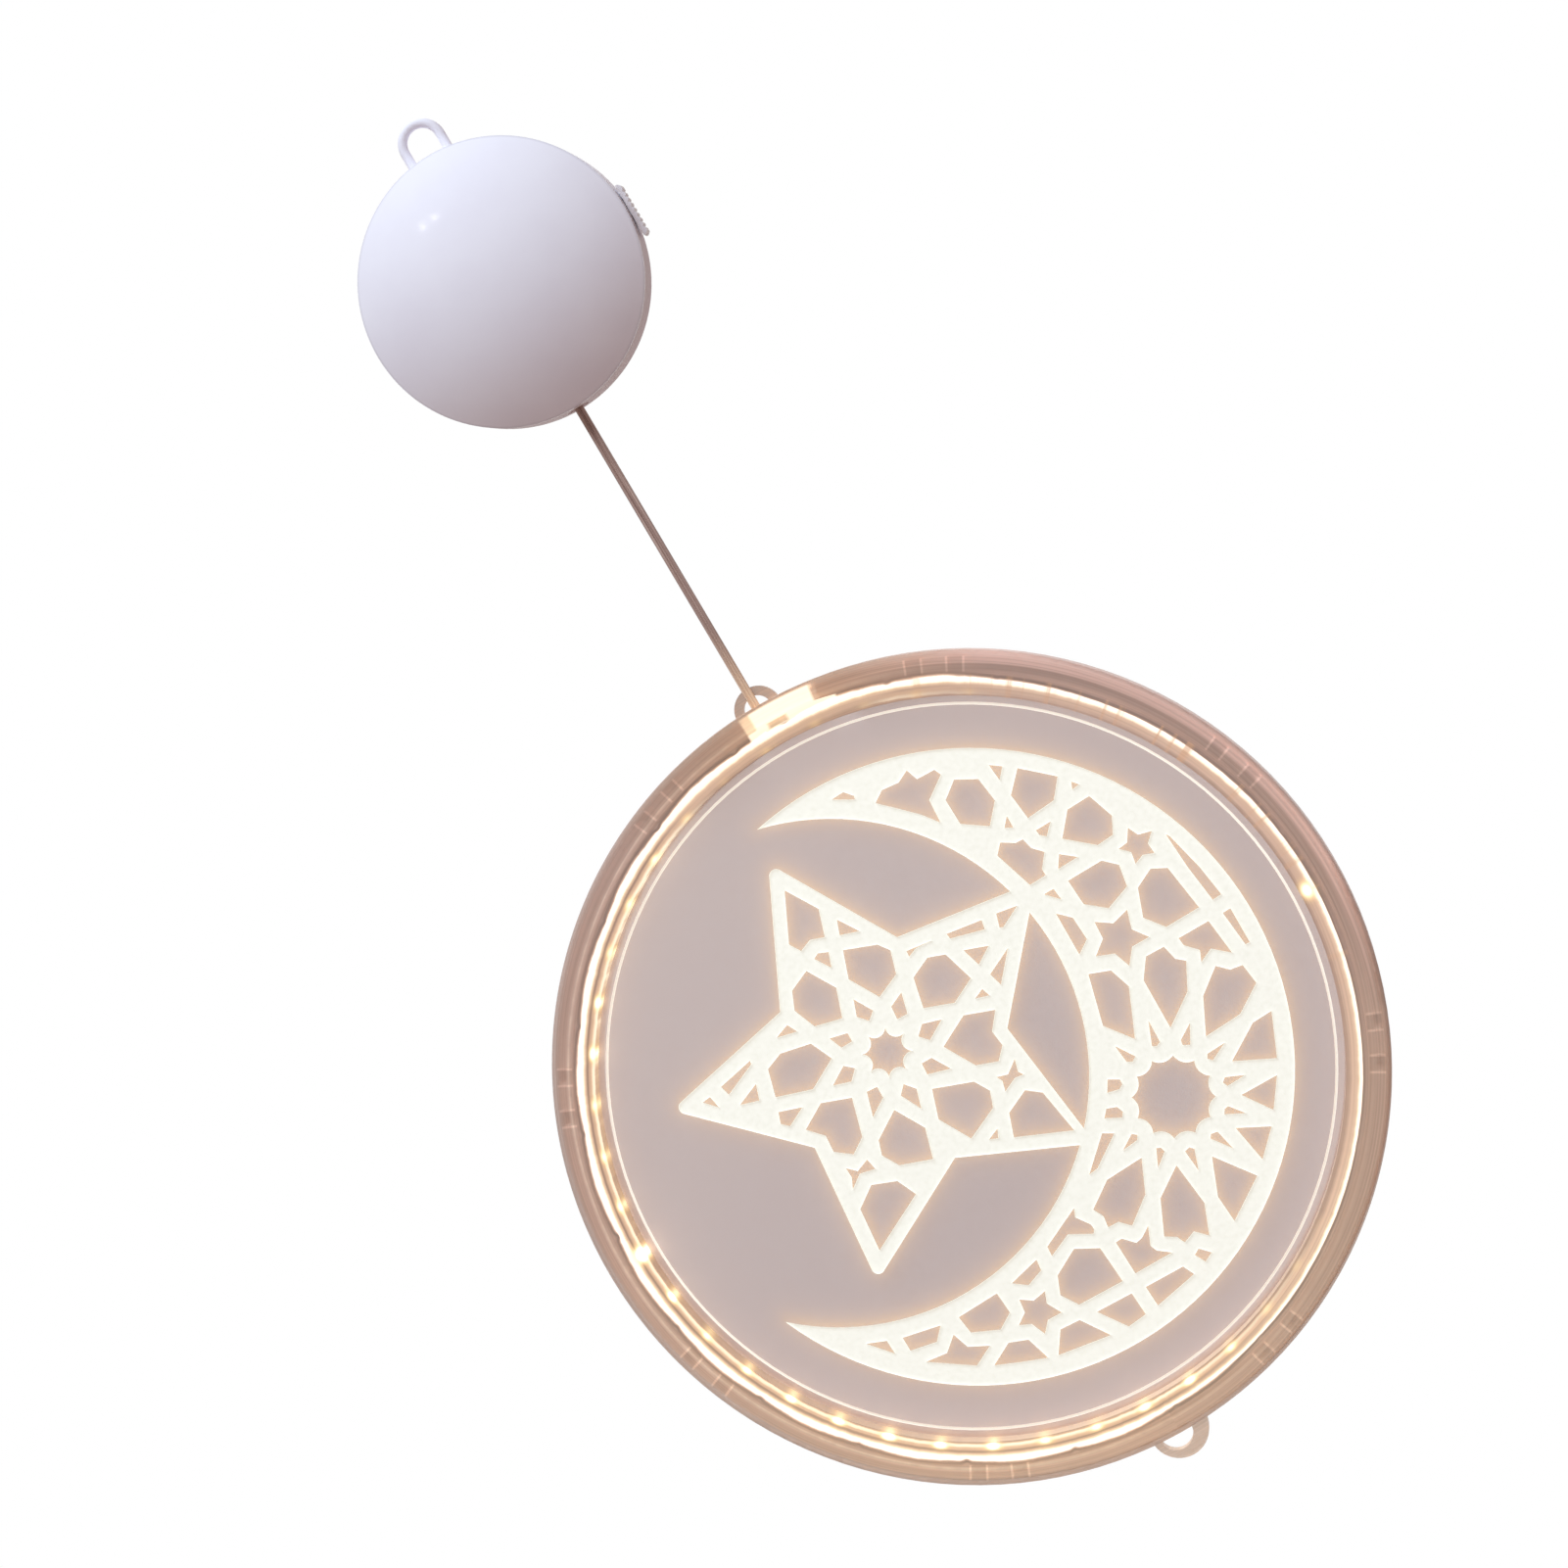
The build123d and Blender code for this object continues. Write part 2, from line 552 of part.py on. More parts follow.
def stem_slot(inner, outer):
    """Slot that the slider's stem travels in, between two X places."""
    y_range = (switch_y - stem_slot_y, switch_y + stem_slot_y)
    return block((inner, outer), y_range, (box_z - stem_slot_z, box_z + stem_slot_z))


def switch_cradle():
    half = switch_body_length / 2 + switch_seat_gap + switch_wall
    inner = switch_back_x - switch_seat_gap - switch_wall
    middle = box_radius - box_wall / 2
    shelf = block((inner, middle), (switch_front, plate_y + box_wall / 2), (box_z - half, box_z + half))
    return shelf & from_front(Circle(middle), switch_front, plate_y + box_wall / 2, 0, box_z)


def switch_pocket():
    """Room for the switch body, open to the front, and the slot through the box wall for its stem."""
    half = switch_body_length / 2 + switch_seat_gap
    inner = switch_back_x - switch_seat_gap
    pocket = block((inner, box_inner), (switch_front, switch_rear), (box_z - half, box_z + half))
    return pocket + stem_slot(switch_face_x, box_radius + beyond)


def switch_body():
    half = switch_body_length / 2
    body = block((switch_back_x, switch_face_x), (switch_front, switch_rear), (box_z - half, box_z + half))
    return body - stem_slot(switch_face_x - switch_slot_depth, switch_face_x + beyond)


def switch_slider():
    """Ribbed knob and its stem, drawn at the lower end of the travel."""
    z = box_z - switch_travel / 2
    inner = box_radius + knob_gap
    outer = inner + knob_height
    knob = block(
        (inner, outer),
        (switch_y - knob_width / 2, switch_y + knob_width / 2),
        (z - knob_length / 2, z + knob_length / 2),
    )
    knob = chamfer(knob.edges().filter_by(Axis.Y).group_by(Axis.X)[-1], knob_corner)
    pitch = (knob_length - 2 * knob_corner) / knob_ribs
    for rib in range(knob_ribs - 1):
        place = z - knob_length / 2 + knob_corner + (rib + 1) * pitch
        half = (pitch - knob_land) / 2
        notch = Polygon((0, -half), (0, half), (-knob_groove, 0), align=None)
        groove = extrude(Plane.XZ * notch, amount=knob_width, both=True)
        knob = knob - Pos(outer, switch_y, place) * groove
    stem = block(
        (switch_face_x - stem_entry, inner),
        (switch_y - stem_width / 2, switch_y + stem_width / 2),
        (z - stem_length / 2, z + stem_length / 2),
    )
    return knob + stem


def cord_outlet():
    """Flared hole in the bottom of the box, from its inner face outwards."""
    throat = box_z - box_inner
    bore = Cylinder(outlet_radius, knot_radius, align=upright)
    flare = Cone(flare_radius, outlet_radius, box_wall, align=upright)
    mouth = Cylinder(flare_radius, beyond, align=upright)
    outside = throat - box_wall
    return Pos(0, 0, throat) * bore + Pos(0, 0, outside) * flare + Pos(0, 0, outside - beyond) * mouth


def cell(place, up):
    """One AAA cell; up is 1 with its button at the top and -1 with it at the bottom."""
    can_length = cell_length - button_height
    can = Cylinder(cell_diameter / 2, can_length, align=upright)
    can = fillet(can.edges(), cell_round)
    solid = can + Pos(0, 0, can_length) * Cylinder(button_diameter / 2, button_height, align=upright)
    low = -cradle_half_z + contact_sheet + leaf_height
    if up < 0:
        solid = Rot(180, 0, 0) * solid
        low = -low
    return Pos(place, 0, box_z + low) * solid


def leaf(place, end):
    """Bowed leaf from a contact at the cradle's end to the cell's flat end."""
    half = contact_sheet / 2
    rear = contact_rear - half
    front = contact_front + leaf_inset
    top = leaf_height - leaf_gap - half
    bow = ThreePointArc((rear, -half), ((rear + front) / 2, top), (front, leaf_lift + half))
    strip = extrude(Plane.YZ * trace(bow, contact_sheet), amount=leaf_width / 2, both=True)
    if end > 0:
        strip = mirror(strip, Plane.XY)
    return Pos(place, 0, box_z + end * (cradle_half_z - contact_sheet)) * strip


def contact(end, plate_from, plate_to, leaf_at=None, dimple_at=None):
    """A sheet contact on one end wall of the cradle, with a leaf for a flat end and a dimple for a button."""
    near = box_z + end * (cradle_half_z - contact_sheet)
    far = box_z + end * cradle_half_z
    across = (plate_from - contact_width / 2, plate_to + contact_width / 2)
    shape = block(across, (contact_front, contact_rear), (min(near, far), max(near, far)))
    shape = shape & cradle(-contact_gap, cradle_half_z, cradle_depth)
    if dimple_at is not None:
        dimple = Cylinder(dimple_radius, dimple_height)
        shape = shape + Pos(dimple_at, 0, near - end * dimple_height / 2) * dimple
    if leaf_at is not None:
        shape = shape + leaf(leaf_at, end)
    return shape


def ring_half(side):
    """Clear half ring: lip, outer wall and the rib that holds the panel; side is -1 in front, 1 behind."""
    rib = ring_inner + ring_rib
    slant = ring_round * (1 - cos(radians(45)))
    edge = ring_half_depth
    corners = [(ring_inner, panel_half), (ring_inner, edge), (ring_radius - ring_round, edge)]
    corner_arc = ThreePointArc(
        (ring_radius - ring_round, side * edge),
        (ring_radius - slant, side * (edge - slant)),
        (ring_radius, side * (edge - ring_round)),
    )
    before = Polyline(*[(r, side * y) for r, y in corners])
    corners = [(ring_radius, edge - ring_round), (ring_radius, 0), (wall_inner, 0), (wall_inner, lip_y)]
    if side > 0:
        strip_top = -lip_y + strip_wall_gap
        corners += [(strip_wall_outer, lip_y), (strip_wall_outer, strip_top)]
        corners += [(strip_wall_inner, strip_top), (strip_wall_inner, lip_y)]
    corners += [(rib, lip_y), (rib, panel_half), (ring_inner, panel_half)]
    after = Polyline(*[(r, side * y) for r, y in corners])
    section = make_face(before + corner_arc + after)
    return Pos(0, 0, ring_z) * revolve(section, Axis.Y)


def cord_passage():
    hole = Cylinder(cord_half + cord_hole_gap, ring_wall + 2 * ring_round, align=upright)
    return Pos(0, 0, ring_z + wall_inner - ring_round) * hole


def hook_angles():
    angles = []
    for station in range(hook_stations):
        middle = hook_first + station * 360 / hook_stations
        angles += [middle - hook_pair / 2, middle + hook_pair / 2]
    return angles


def hook_profile(grow):
    """A hook's nose in radius and Y, grown by a gap for its catch."""
    tip = hook_reach + grow
    root = hook_reach - hook_nose_length - grow
    nose = hook_outer + hook_nose + grow
    return Polygon((hook_outer, root), (nose, root), (hook_outer + grow, tip), (hook_outer, tip), align=None)


def hook(angle):
    inner = hook_outer - hook_wall
    beam = Polygon(
        (inner, -lip_y), (hook_outer, -lip_y), (hook_outer, hook_reach), (inner, hook_reach), align=None
    )
    solid = extrude(beam + hook_profile(0), amount=hook_width / 2, both=True)
    return at_angle(solid, angle - 90, ring_z)


def hook_catch(angle):
    solid = extrude(hook_profile(hook_catch_gap), amount=hook_width / 2 + hook_catch_gap, both=True)
    return at_angle(solid, angle - 90, ring_z)


def loop_outside_ring(sketch, front, rear):
    """A flat loop, kept only outside the ring's wall that carries it."""
    core = from_front(Circle(ring_radius - loop_root), front - beyond, rear + beyond, 0, ring_z)
    return from_front(sketch, front, rear, 0, ring_z) - core


def ring_front():
    ring = ring_half(-1)
    for angle in hook_angles():
        ring = ring + hook(angle)
    middle = Pos(0, -(ring_radius - bottom_loop_sink))
    eye = Pos(-bottom_eye_left, -(ring_radius - bottom_eye_sink))
    loop = middle * Circle(bottom_loop_outer) - eye * Circle(bottom_loop_inner)
    return ring + loop_outside_ring(loop, bottom_loop_front, bottom_loop_rear) - cord_passage()


def ring_rear():
    ring = ring_half(1)
    for angle in hook_angles():
        ring = ring - hook_catch(angle)
    middle = Pos(0, ring_radius - top_loop_sink)
    loop = middle * Circle(top_loop_outer) - middle * Circle(top_loop_inner)
    ring = ring + loop_outside_ring(loop, top_loop_front, top_loop_rear)
    opening = [(strip_inner, -lip_y), (wall_inner, -lip_y), (wall_inner, lip_y), (strip_inner, lip_y)]
    ring = ring - turned(opening, ring_z, strip_start - anchor_end, anchor_end)
    return ring - cord_passage()


def hanging_cord():
    """Twin lead, straight from the knot into the ring."""
    low = ring_z + strip_wall_outer + cord_end_gap
    leads = Pos(-lead_pitch / 2, 0) * Circle(lead_radius) + Pos(lead_pitch / 2, 0) * Circle(lead_radius)
    leads = leads + Rectangle(lead_pitch, lead_radius)
    cord = Pos(0, 0, low) * extrude(leads, amount=knot_z - low)
    return cord - Pos(0, 0, knot_z) * Sphere(knot_radius + knot_gap)


def anchor_glue():
    inner = strip_wall_outer + anchor_gap
    outer = wall_inner - anchor_gap
    half = anchor_width / 2
    corners = [(inner, -half), (outer, -half), (outer, half), (inner, half)]
    return turned(corners, ring_z, anchor_end - anchor_start, anchor_start) - hanging_cord()


def led_strip():
    half = strip_width / 2
    corners = [(strip_inner, -half), (strip_outer, -half), (strip_outer, half), (strip_inner, half)]
    return turned(corners, ring_z, strip_end - strip_start, strip_start)


def led_chip(number):
    y_range = (-led_width / 2, led_width / 2)
    chip = block((led_outer - led_height, led_outer), y_range, (-led_length / 2, led_length / 2))
    pitch = (strip_end - strip_start) / led_count
    return at_angle(chip, led_first + number * pitch - 90, ring_z)


def ring_point(radius, angle, y):
    """A place on the ring, clockwise from the top."""
    return (radius * sin(radians(angle)), y, ring_z + radius * cos(radians(angle)))


def strip_lead(y):
    start_radius = (strip_wall_outer + wall_inner) / 2
    end_radius = strip_outer - strip_thickness / 2
    start = ring_point(start_radius, anchor_end + degrees(strip_lead_gap / start_radius), y)
    end = ring_point(end_radius, strip_start - degrees(strip_lead_gap / end_radius), y)
    path = Line(start, end)
    return sweep(Plane(origin=start, z_dir=path % 0) * Circle(strip_lead_radius), path=path)


def on_panel(x, z):
    """A place on the ornament's axes, turned with it onto the panel's front face."""
    turn = radians(ornament_turn)
    across = (x * cos(turn) - z * sin(turn)) / cos(radians(ornament_view))
    up = x * sin(turn) + z * cos(turn)
    return Vector(across + ornament_right, -panel_half - beyond, ring_z + up - ornament_down)


def rosette_wire(middle, points, tip, lobe, turn):
    """Star-shaped hole with rounded lobes between its tips."""
    edges = []
    for number in range(points):
        places = []
        for step, radius in ((0.0, tip), (0.5, lobe), (1.0, tip)):
            angle = radians(turn + (number + step) * 360 / points)
            places.append(on_panel(middle[0] + radius * cos(angle), middle[1] + radius * sin(angle)))
        edges.append(ThreePointArc(*places).edge())
    return Wire(edges)


def crescent_wire():
    """Outer circle and the circle that bites into it, between their two meeting points."""
    x, z = crescent_bite
    span = sqrt(x**2 + z**2)
    along = (crescent_radius**2 - crescent_bite_radius**2 + span**2) / (2 * span)
    across = sqrt(crescent_radius**2 - along**2)
    unit = (x / span, z / span)
    upper = on_panel(unit[0] * along + unit[1] * across, unit[1] * along - unit[0] * across)
    lower = on_panel(unit[0] * along - unit[1] * across, unit[1] * along + unit[0] * across)
    back = on_panel(-unit[0] * crescent_radius, -unit[1] * crescent_radius)
    bite = on_panel(x - unit[0] * crescent_bite_radius, z - unit[1] * crescent_bite_radius)
    return Wire([ThreePointArc(upper, back, lower).edge(), ThreePointArc(lower, bite, upper).edge()])


def star_wire():
    outline = Polyline(*[on_panel(x, z) for x, z in star_outline], close=True)
    face = make_face(outline)
    tips = [face.vertices().sort_by_distance(on_panel(*corner))[0] for corner in star_outline[::2]]
    return fillet(tips, star_tip_round).face().outer_wire()


def strapwork(outline, gaps, rosette):
    """An outline less its gaps and its rosette, as a cutter that goes into the panel's front face."""
    face = Face(outline)
    for corners in gaps:
        face = face - Face(Wire.make_polygon([on_panel(x, z) for x, z in corners], close=True))
    face = face - Face(rosette_wire(**rosette))
    return extrude(face, amount=beyond + engraving_depth, dir=(0, 1, 0))


def engraved_panel():
    panel = from_front(Circle(panel_radius), -panel_half, panel_half, 0, ring_z)
    border = Circle(border_radius + border_width / 2) - Circle(border_radius - border_width / 2)
    panel = panel - from_front(border, -panel_half - beyond, -panel_half + engraving_depth, 0, ring_z)
    panel = panel - strapwork(star_wire(), star_gaps, star_rosette)
    return panel - strapwork(crescent_wire(), crescent_gaps, crescent_rosette)


save("box_cover", box_cover())
save("box_tray", box_tray())
save("battery_door", battery_door())
save("case_screws", *[case_screw(x, z) for x, z in screw_places])
save("battery_cell_left", cell(-cell_pitch, 1))
save("battery_cell_middle", cell(0, -1))
save("battery_cell_right", cell(cell_pitch, 1))
save("contact_plus", contact(1, -cell_pitch, -cell_pitch, dimple_at=-cell_pitch))
save("contact_minus", contact(-1, cell_pitch, cell_pitch, leaf_at=cell_pitch))
save("contact_bridge_upper", contact(1, 0, cell_pitch, leaf_at=0, dimple_at=cell_pitch))
save("contact_bridge_lower", contact(-1, -cell_pitch, 0, leaf_at=-cell_pitch, dimple_at=0))
save("switch_body", switch_body())
save("switch_slider", switch_slider())
save("cord_knot", Pos(0, 0, knot_z) * Sphere(knot_radius))
save("hanging_cord", hanging_cord())
save("ring_front", ring_front())
save("ring_rear", ring_rear())
save("engraved_panel", engraved_panel())
save("led_strip", led_strip())
save("led_chips", *[led_chip(number) for number in range(led_count)])
save("cord_anchor", anchor_glue())
save("strip_leads", strip_lead(-strip_lead_spread), strip_lead(strip_lead_spread))
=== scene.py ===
import math
from types import SimpleNamespace
import bpy
from mathutils import Matrix, Vector
from mathutils.bvhtree import BVHTree


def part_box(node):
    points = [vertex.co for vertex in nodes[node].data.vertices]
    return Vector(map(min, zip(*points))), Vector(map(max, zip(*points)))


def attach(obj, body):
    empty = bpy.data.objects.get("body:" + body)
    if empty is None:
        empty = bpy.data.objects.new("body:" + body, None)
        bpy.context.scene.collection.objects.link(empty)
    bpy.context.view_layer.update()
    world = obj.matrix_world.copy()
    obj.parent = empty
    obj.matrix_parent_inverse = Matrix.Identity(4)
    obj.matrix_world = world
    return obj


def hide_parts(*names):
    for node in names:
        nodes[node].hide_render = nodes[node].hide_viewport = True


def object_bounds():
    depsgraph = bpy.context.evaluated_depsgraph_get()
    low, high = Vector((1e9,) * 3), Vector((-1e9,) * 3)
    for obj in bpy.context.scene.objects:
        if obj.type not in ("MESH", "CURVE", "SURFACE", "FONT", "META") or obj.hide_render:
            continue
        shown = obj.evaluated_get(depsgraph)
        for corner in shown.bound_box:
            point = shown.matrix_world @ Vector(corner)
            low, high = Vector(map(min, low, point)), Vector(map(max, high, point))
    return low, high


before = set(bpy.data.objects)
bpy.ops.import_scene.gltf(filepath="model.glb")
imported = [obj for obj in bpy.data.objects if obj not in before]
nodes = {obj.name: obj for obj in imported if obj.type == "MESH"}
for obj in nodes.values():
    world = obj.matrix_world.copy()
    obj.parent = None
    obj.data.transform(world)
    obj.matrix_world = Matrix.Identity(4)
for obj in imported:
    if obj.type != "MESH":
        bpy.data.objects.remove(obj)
cadBox = [list(corner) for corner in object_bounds()]
panelLow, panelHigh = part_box("engraved_panel")
ringMid = (panelLow + panelHigh) / 2  # middle of the ring lamp
mm = 0.001
bpy.context.scene.view_settings.view_transform = "Standard"
print("frame loaded:", len(nodes), "nodes")

photoCamera = {
    "turn": 7.5,  # degrees round the hanging axis, towards the switch
    "lean": 30.6,  # degrees that the hanging axis leans left in the picture
    "distance": 0.9,
    "field": 0.3374,  # metres across the picture at the ring
    "aim": (-0.00325, 0.0, -0.1581),
    "near": 0.01,  # metres, nothing closer is drawn
}


def placeCamera():
    turn, lean = math.radians(photoCamera["turn"]), math.radians(photoCamera["lean"])
    away = Vector((math.sin(turn), -math.cos(turn), 0))
    side = Vector((math.cos(turn), math.sin(turn), 0))
    top = Vector((0, 0, 1)) * math.cos(lean) + side * math.sin(lean)
    spot = Vector(photoCamera["aim"]) + away * photoCamera["distance"]
    bpy.ops.object.camera_add(location=spot)
    camera = bpy.context.object
    camera.rotation_euler = Matrix((top.cross(away), top, away)).transposed().to_euler()
    camera.data.angle = 2 * math.atan(photoCamera["field"] / 2 / photoCamera["distance"])
    camera.data.clip_start = photoCamera["near"]
    bpy.context.scene.camera = camera


placeCamera()
print("camera placed")


def clearSelection():
    if bpy.context.object and bpy.context.object.mode != "OBJECT":
        bpy.ops.object.mode_set(mode="OBJECT")
    bpy.ops.object.select_all(action="DESELECT")


def makeActive(obj):
    clearSelection()
    obj.select_set(True)
    bpy.context.view_layer.objects.active = obj


def linked(name, data):  # a new object in the scene
    obj = bpy.data.objects.new(name, data)
    bpy.context.scene.collection.objects.link(obj)
    return obj


def shownMesh(obj):  # mesh of a curve as it is shown
    bpy.context.view_layer.update()
    return bpy.data.meshes.new_from_object(obj.evaluated_get(bpy.context.evaluated_depsgraph_get()))


def weld(obj, gap, outward=True):  # joins points that lie together
    makeActive(obj)
    bpy.ops.object.mode_set(mode="EDIT")
    bpy.ops.mesh.select_all(action="SELECT")
    bpy.ops.mesh.remove_doubles(threshold=gap)
    if outward:
        bpy.ops.mesh.normals_make_consistent(inside=False)
    bpy.ops.object.mode_set(mode="OBJECT")


def openLine(name, points):  # smooth NURBS line with these control points
    curve = bpy.data.curves.new(name, "CURVE")
    curve.dimensions = "3D"
    line = curve.splines.new("NURBS")
    line.points.add(len(points) - 1)
    for spot, place in zip(line.points, points):
        spot.co = (*place, 1)
    line.order_u = 3
    line.use_endpoint_u = True
    line.resolution_u = 8
    return linked(name, curve)


def sweepLine(lineObj, profile, name):  # mesh that runs the profile along the line
    lineObj.data.bevel_mode = "OBJECT"
    lineObj.data.bevel_object = profile
    lineObj.data.use_fill_caps = True
    obj = linked(name, shownMesh(lineObj))
    bpy.data.objects.remove(lineObj)
    bpy.data.objects.remove(profile)
    weld(obj, 0.01 * mm)
    bpy.ops.object.shade_smooth_by_angle(angle=math.radians(50))
    return obj


hangCord = {
    "route": [(0, 0, -0.06543), (0, 0, -0.085), (0, 0, -0.105), (0, 0, -0.125), (0, 0, -0.14484)],
    "width": 0.00204,
    "lobe": 0.00052,  # radius of one lead
    "lobeMid": 0.0005,  # from the cord's middle to a lead's
    "waist": 0.0002,  # half thickness between the two leads
}


def twinOutline():  # two leads side by side, joined by a thin web
    c = hangCord
    spots = [(c["width"] / 2, 0), (c["lobeMid"], c["lobe"]), (0, c["waist"]), (-c["lobeMid"], c["lobe"])]
    spots = spots + [(-x, -y) for x, y in spots]
    curve = bpy.data.curves.new("twinOutline", "CURVE")
    curve.dimensions = "2D"
    loop = curve.splines.new("BEZIER")
    loop.bezier_points.add(len(spots) - 1)
    for point, (x, y) in zip(loop.bezier_points, spots):
        point.co = (x, y, 0)
        point.handle_left_type = point.handle_right_type = "AUTO"
    loop.use_cyclic_u = True
    loop.resolution_u = 6
    return linked("twinOutline", curve)


def makeHangCord():
    line = openLine("cordLine", hangCord["route"])
    path = [tuple(v.co) for v in shownMesh(line).vertices]
    cord = sweepLine(line, twinOutline(), "hangingCord")
    low = min(v.co.y for v in cord.data.vertices)
    if low < -0.9 * hangCord["width"] / 2:  # the sweep laid the leads one behind the other
        cord.data.transform(Matrix.Rotation(math.pi / 2, 4, "Z"))
    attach(cord, "lamp")
    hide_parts("hanging_cord")


makeHangCord()
print("cord hung")


def screen(r, g, b):  # a colour as seen on screen, 0 to 255, as the shader wants it
    def linear(c):
        c = c / 255
        return c / 12.92 if c <= 0.04045 else ((c + 0.055) / 1.055) ** 2.4

    return (linear(r), linear(g), linear(b), 1.0)


def put(tree, kind, inputs=None, **settings):  # one node, with its settings and what feeds it
    node = tree.nodes.new("ShaderNode" + kind)
    for key, value in settings.items():
        setattr(node, key, value)
    for key, value in (inputs or {}).items():
        if isinstance(value, bpy.types.NodeSocket):
            tree.links.new(value, node.inputs[key])
        else:
            node.inputs[key].default_value = value
    return node


def maths(tree, how, a, b=0.0, limit=False):  # one Math node
    return put(tree, "Math", {0: a, 1: b}, operation=how, use_clamp=limit).outputs[0]


def product(tree, first, *others):  # values multiplied together
    for other in others:
        first = maths(tree, "MULTIPLY", first, other)
    return first


def offBy(tree, value, middle, reach):  # how many reaches a value lies from a middle
    return maths(tree, "DIVIDE", maths(tree, "SUBTRACT", value, middle), reach)


def bell(tree, *ways):  # 1 where every way is 0, with a smooth fall round that
    far = 0.0
    for way in ways:
        far = maths(tree, "ADD", product(tree, way, way), far)
    return maths(tree, "EXPONENT", maths(tree, "MULTIPLY", far, -1.0))


def spread(tree, value, low, high, toLow=0.0, toHigh=1.0, soft=False):  # Map Range, clamped
    kind = "SMOOTHSTEP" if soft else "LINEAR"
    sockets = {"Value": value, "From Min": low, "From Max": high, "To Min": toLow, "To Max": toHigh}
    return put(tree, "MapRange", sockets, interpolation_type=kind).outputs[0]


def vectors(tree, how, a, b):  # one Vector Math node
    return put(tree, "VectorMath", {0: a, 1: b}, operation=how).outputs[0]


def scaled(tree, colour, by):
    return put(tree, "VectorMath", {0: colour, "Scale": by}, operation="SCALE").outputs[0]


def part(tree, place, axis):  # one coordinate of a place
    return put(tree, "SeparateXYZ", {0: place}).outputs[axis]


def fromMiddle(tree, place, middle):  # radius from a middle, as seen from the front, with its x and z
    flat = vectors(tree, "MULTIPLY", vectors(tree, "SUBTRACT", place, middle), (1, 0, 1))
    radius = put(tree, "VectorMath", {0: flat}, operation="LENGTH").outputs["Value"]
    return radius, part(tree, flat, "X"), part(tree, flat, "Z")


noiseSpan = (0.3, 0.7)  # where most of a noise lies


def grain(tree, place, scale, detail=3.0, rough=0.55):  # noise, from 0 to 1
    sockets = {"Vector": place, "Scale": scale, "Detail": detail, "Roughness": rough}
    return put(tree, "TexNoise", sockets).outputs["Fac"]


def drawnOut(tree, place, share):  # places squeezed in height, so that a noise runs in streaks
    return put(tree, "Mapping", {"Vector": place, "Scale": (1, 1, share)}).outputs[0]


def vary(tree, noise, ends):  # a value that a noise moves between two ends
    return spread(tree, noise, *noiseSpan, *ends)


def ramp(tree, value, stops):  # colour ramp, stops are (place, colour)
    node = put(tree, "ValToRGB", {"Fac": value})
    marks = node.color_ramp.elements
    while len(marks) < len(stops):
        marks.new(0.5)
    for mark, (place, colour) in zip(marks, stops):
        mark.position = place
        mark.color = colour
    return node.outputs["Color"]


def toneRamp(tree, value, stops):  # the same, with colours as seen on screen
    return ramp(tree, value, [(place, screen(*tone)) for place, tone in stops])


def twoTone(tree, value, tones, ends=noiseSpan):  # runs from one tone to the other
    return toneRamp(tree, value, zip(ends, tones))


def blendColours(tree, share, a, b, how="MIX"):
    node = put(tree, "Mix", data_type="RGBA", blend_type=how)
    for index, value in ((0, share), (6, a), (7, b)):
        if isinstance(value, bpy.types.NodeSocket):
            tree.links.new(value, node.inputs[index])
        else:
            node.inputs[index].default_value = value
    return node.outputs[2]


def newFinish(name, **fixed):  # a fresh material, its tree, its shader and its place input
    material = bpy.data.materials.new(name)
    material.use_nodes = True
    tree = material.node_tree
    shader = tree.nodes["Principled BSDF"]
    for key, value in fixed.items():
        shader.inputs[key.replace("_", " ")].default_value = value
    place = put(tree, "TexCoord").outputs["Object"]
    return material, tree, shader, place


def feed(tree, shader, **sockets):  # links what feeds the shader
    for key, value in sockets.items():
        tree.links.new(value, shader.inputs[key.replace("_", " ")])


def dent(tree, shader, height, strength, depth=0.1 * mm):  # fine relief
    sockets = {"Height": height, "Strength": strength, "Distance": depth}
    feed(tree, shader, Normal=put(tree, "Bump", sockets).outputs["Normal"])


def dress(material, *names):  # gives a CAD node or a new piece this finish
    for name in names:
        obj = nodes.get(name) or bpy.data.objects[name]
        obj.data.materials.clear()
        obj.data.materials.append(material)


studio = {
    "fill": (0.32, 0.22, 0.195),  # dim warm light from all round
    "lamps": {  # place, size, power, colour, whether it mirrors in gloss
        "keyLamp": ((-0.16, -1.10, 1.75), 1.2, 47.5, (0.75, 0.89, 1.0), False),
        "backLamp": ((0.0, 1.60, 0.90), 1.2, 26.0, (0.95, 0.97, 1.0), False),
        "dotLampLeft": ((-0.456, -0.807, 0.837), 0.05, 0.15, (1.0, 1.0, 1.0), True),
        "dotLampRight": ((-0.330, -0.840, 0.861), 0.05, 0.15, (1.0, 1.0, 1.0), True),
    },
    "floorDrop": 0.43,  # floor below the lowest point of the lamp
    "floorRadius": 0.8,
    "floorTones": ((236, 235, 233), (246, 246, 245)),
}


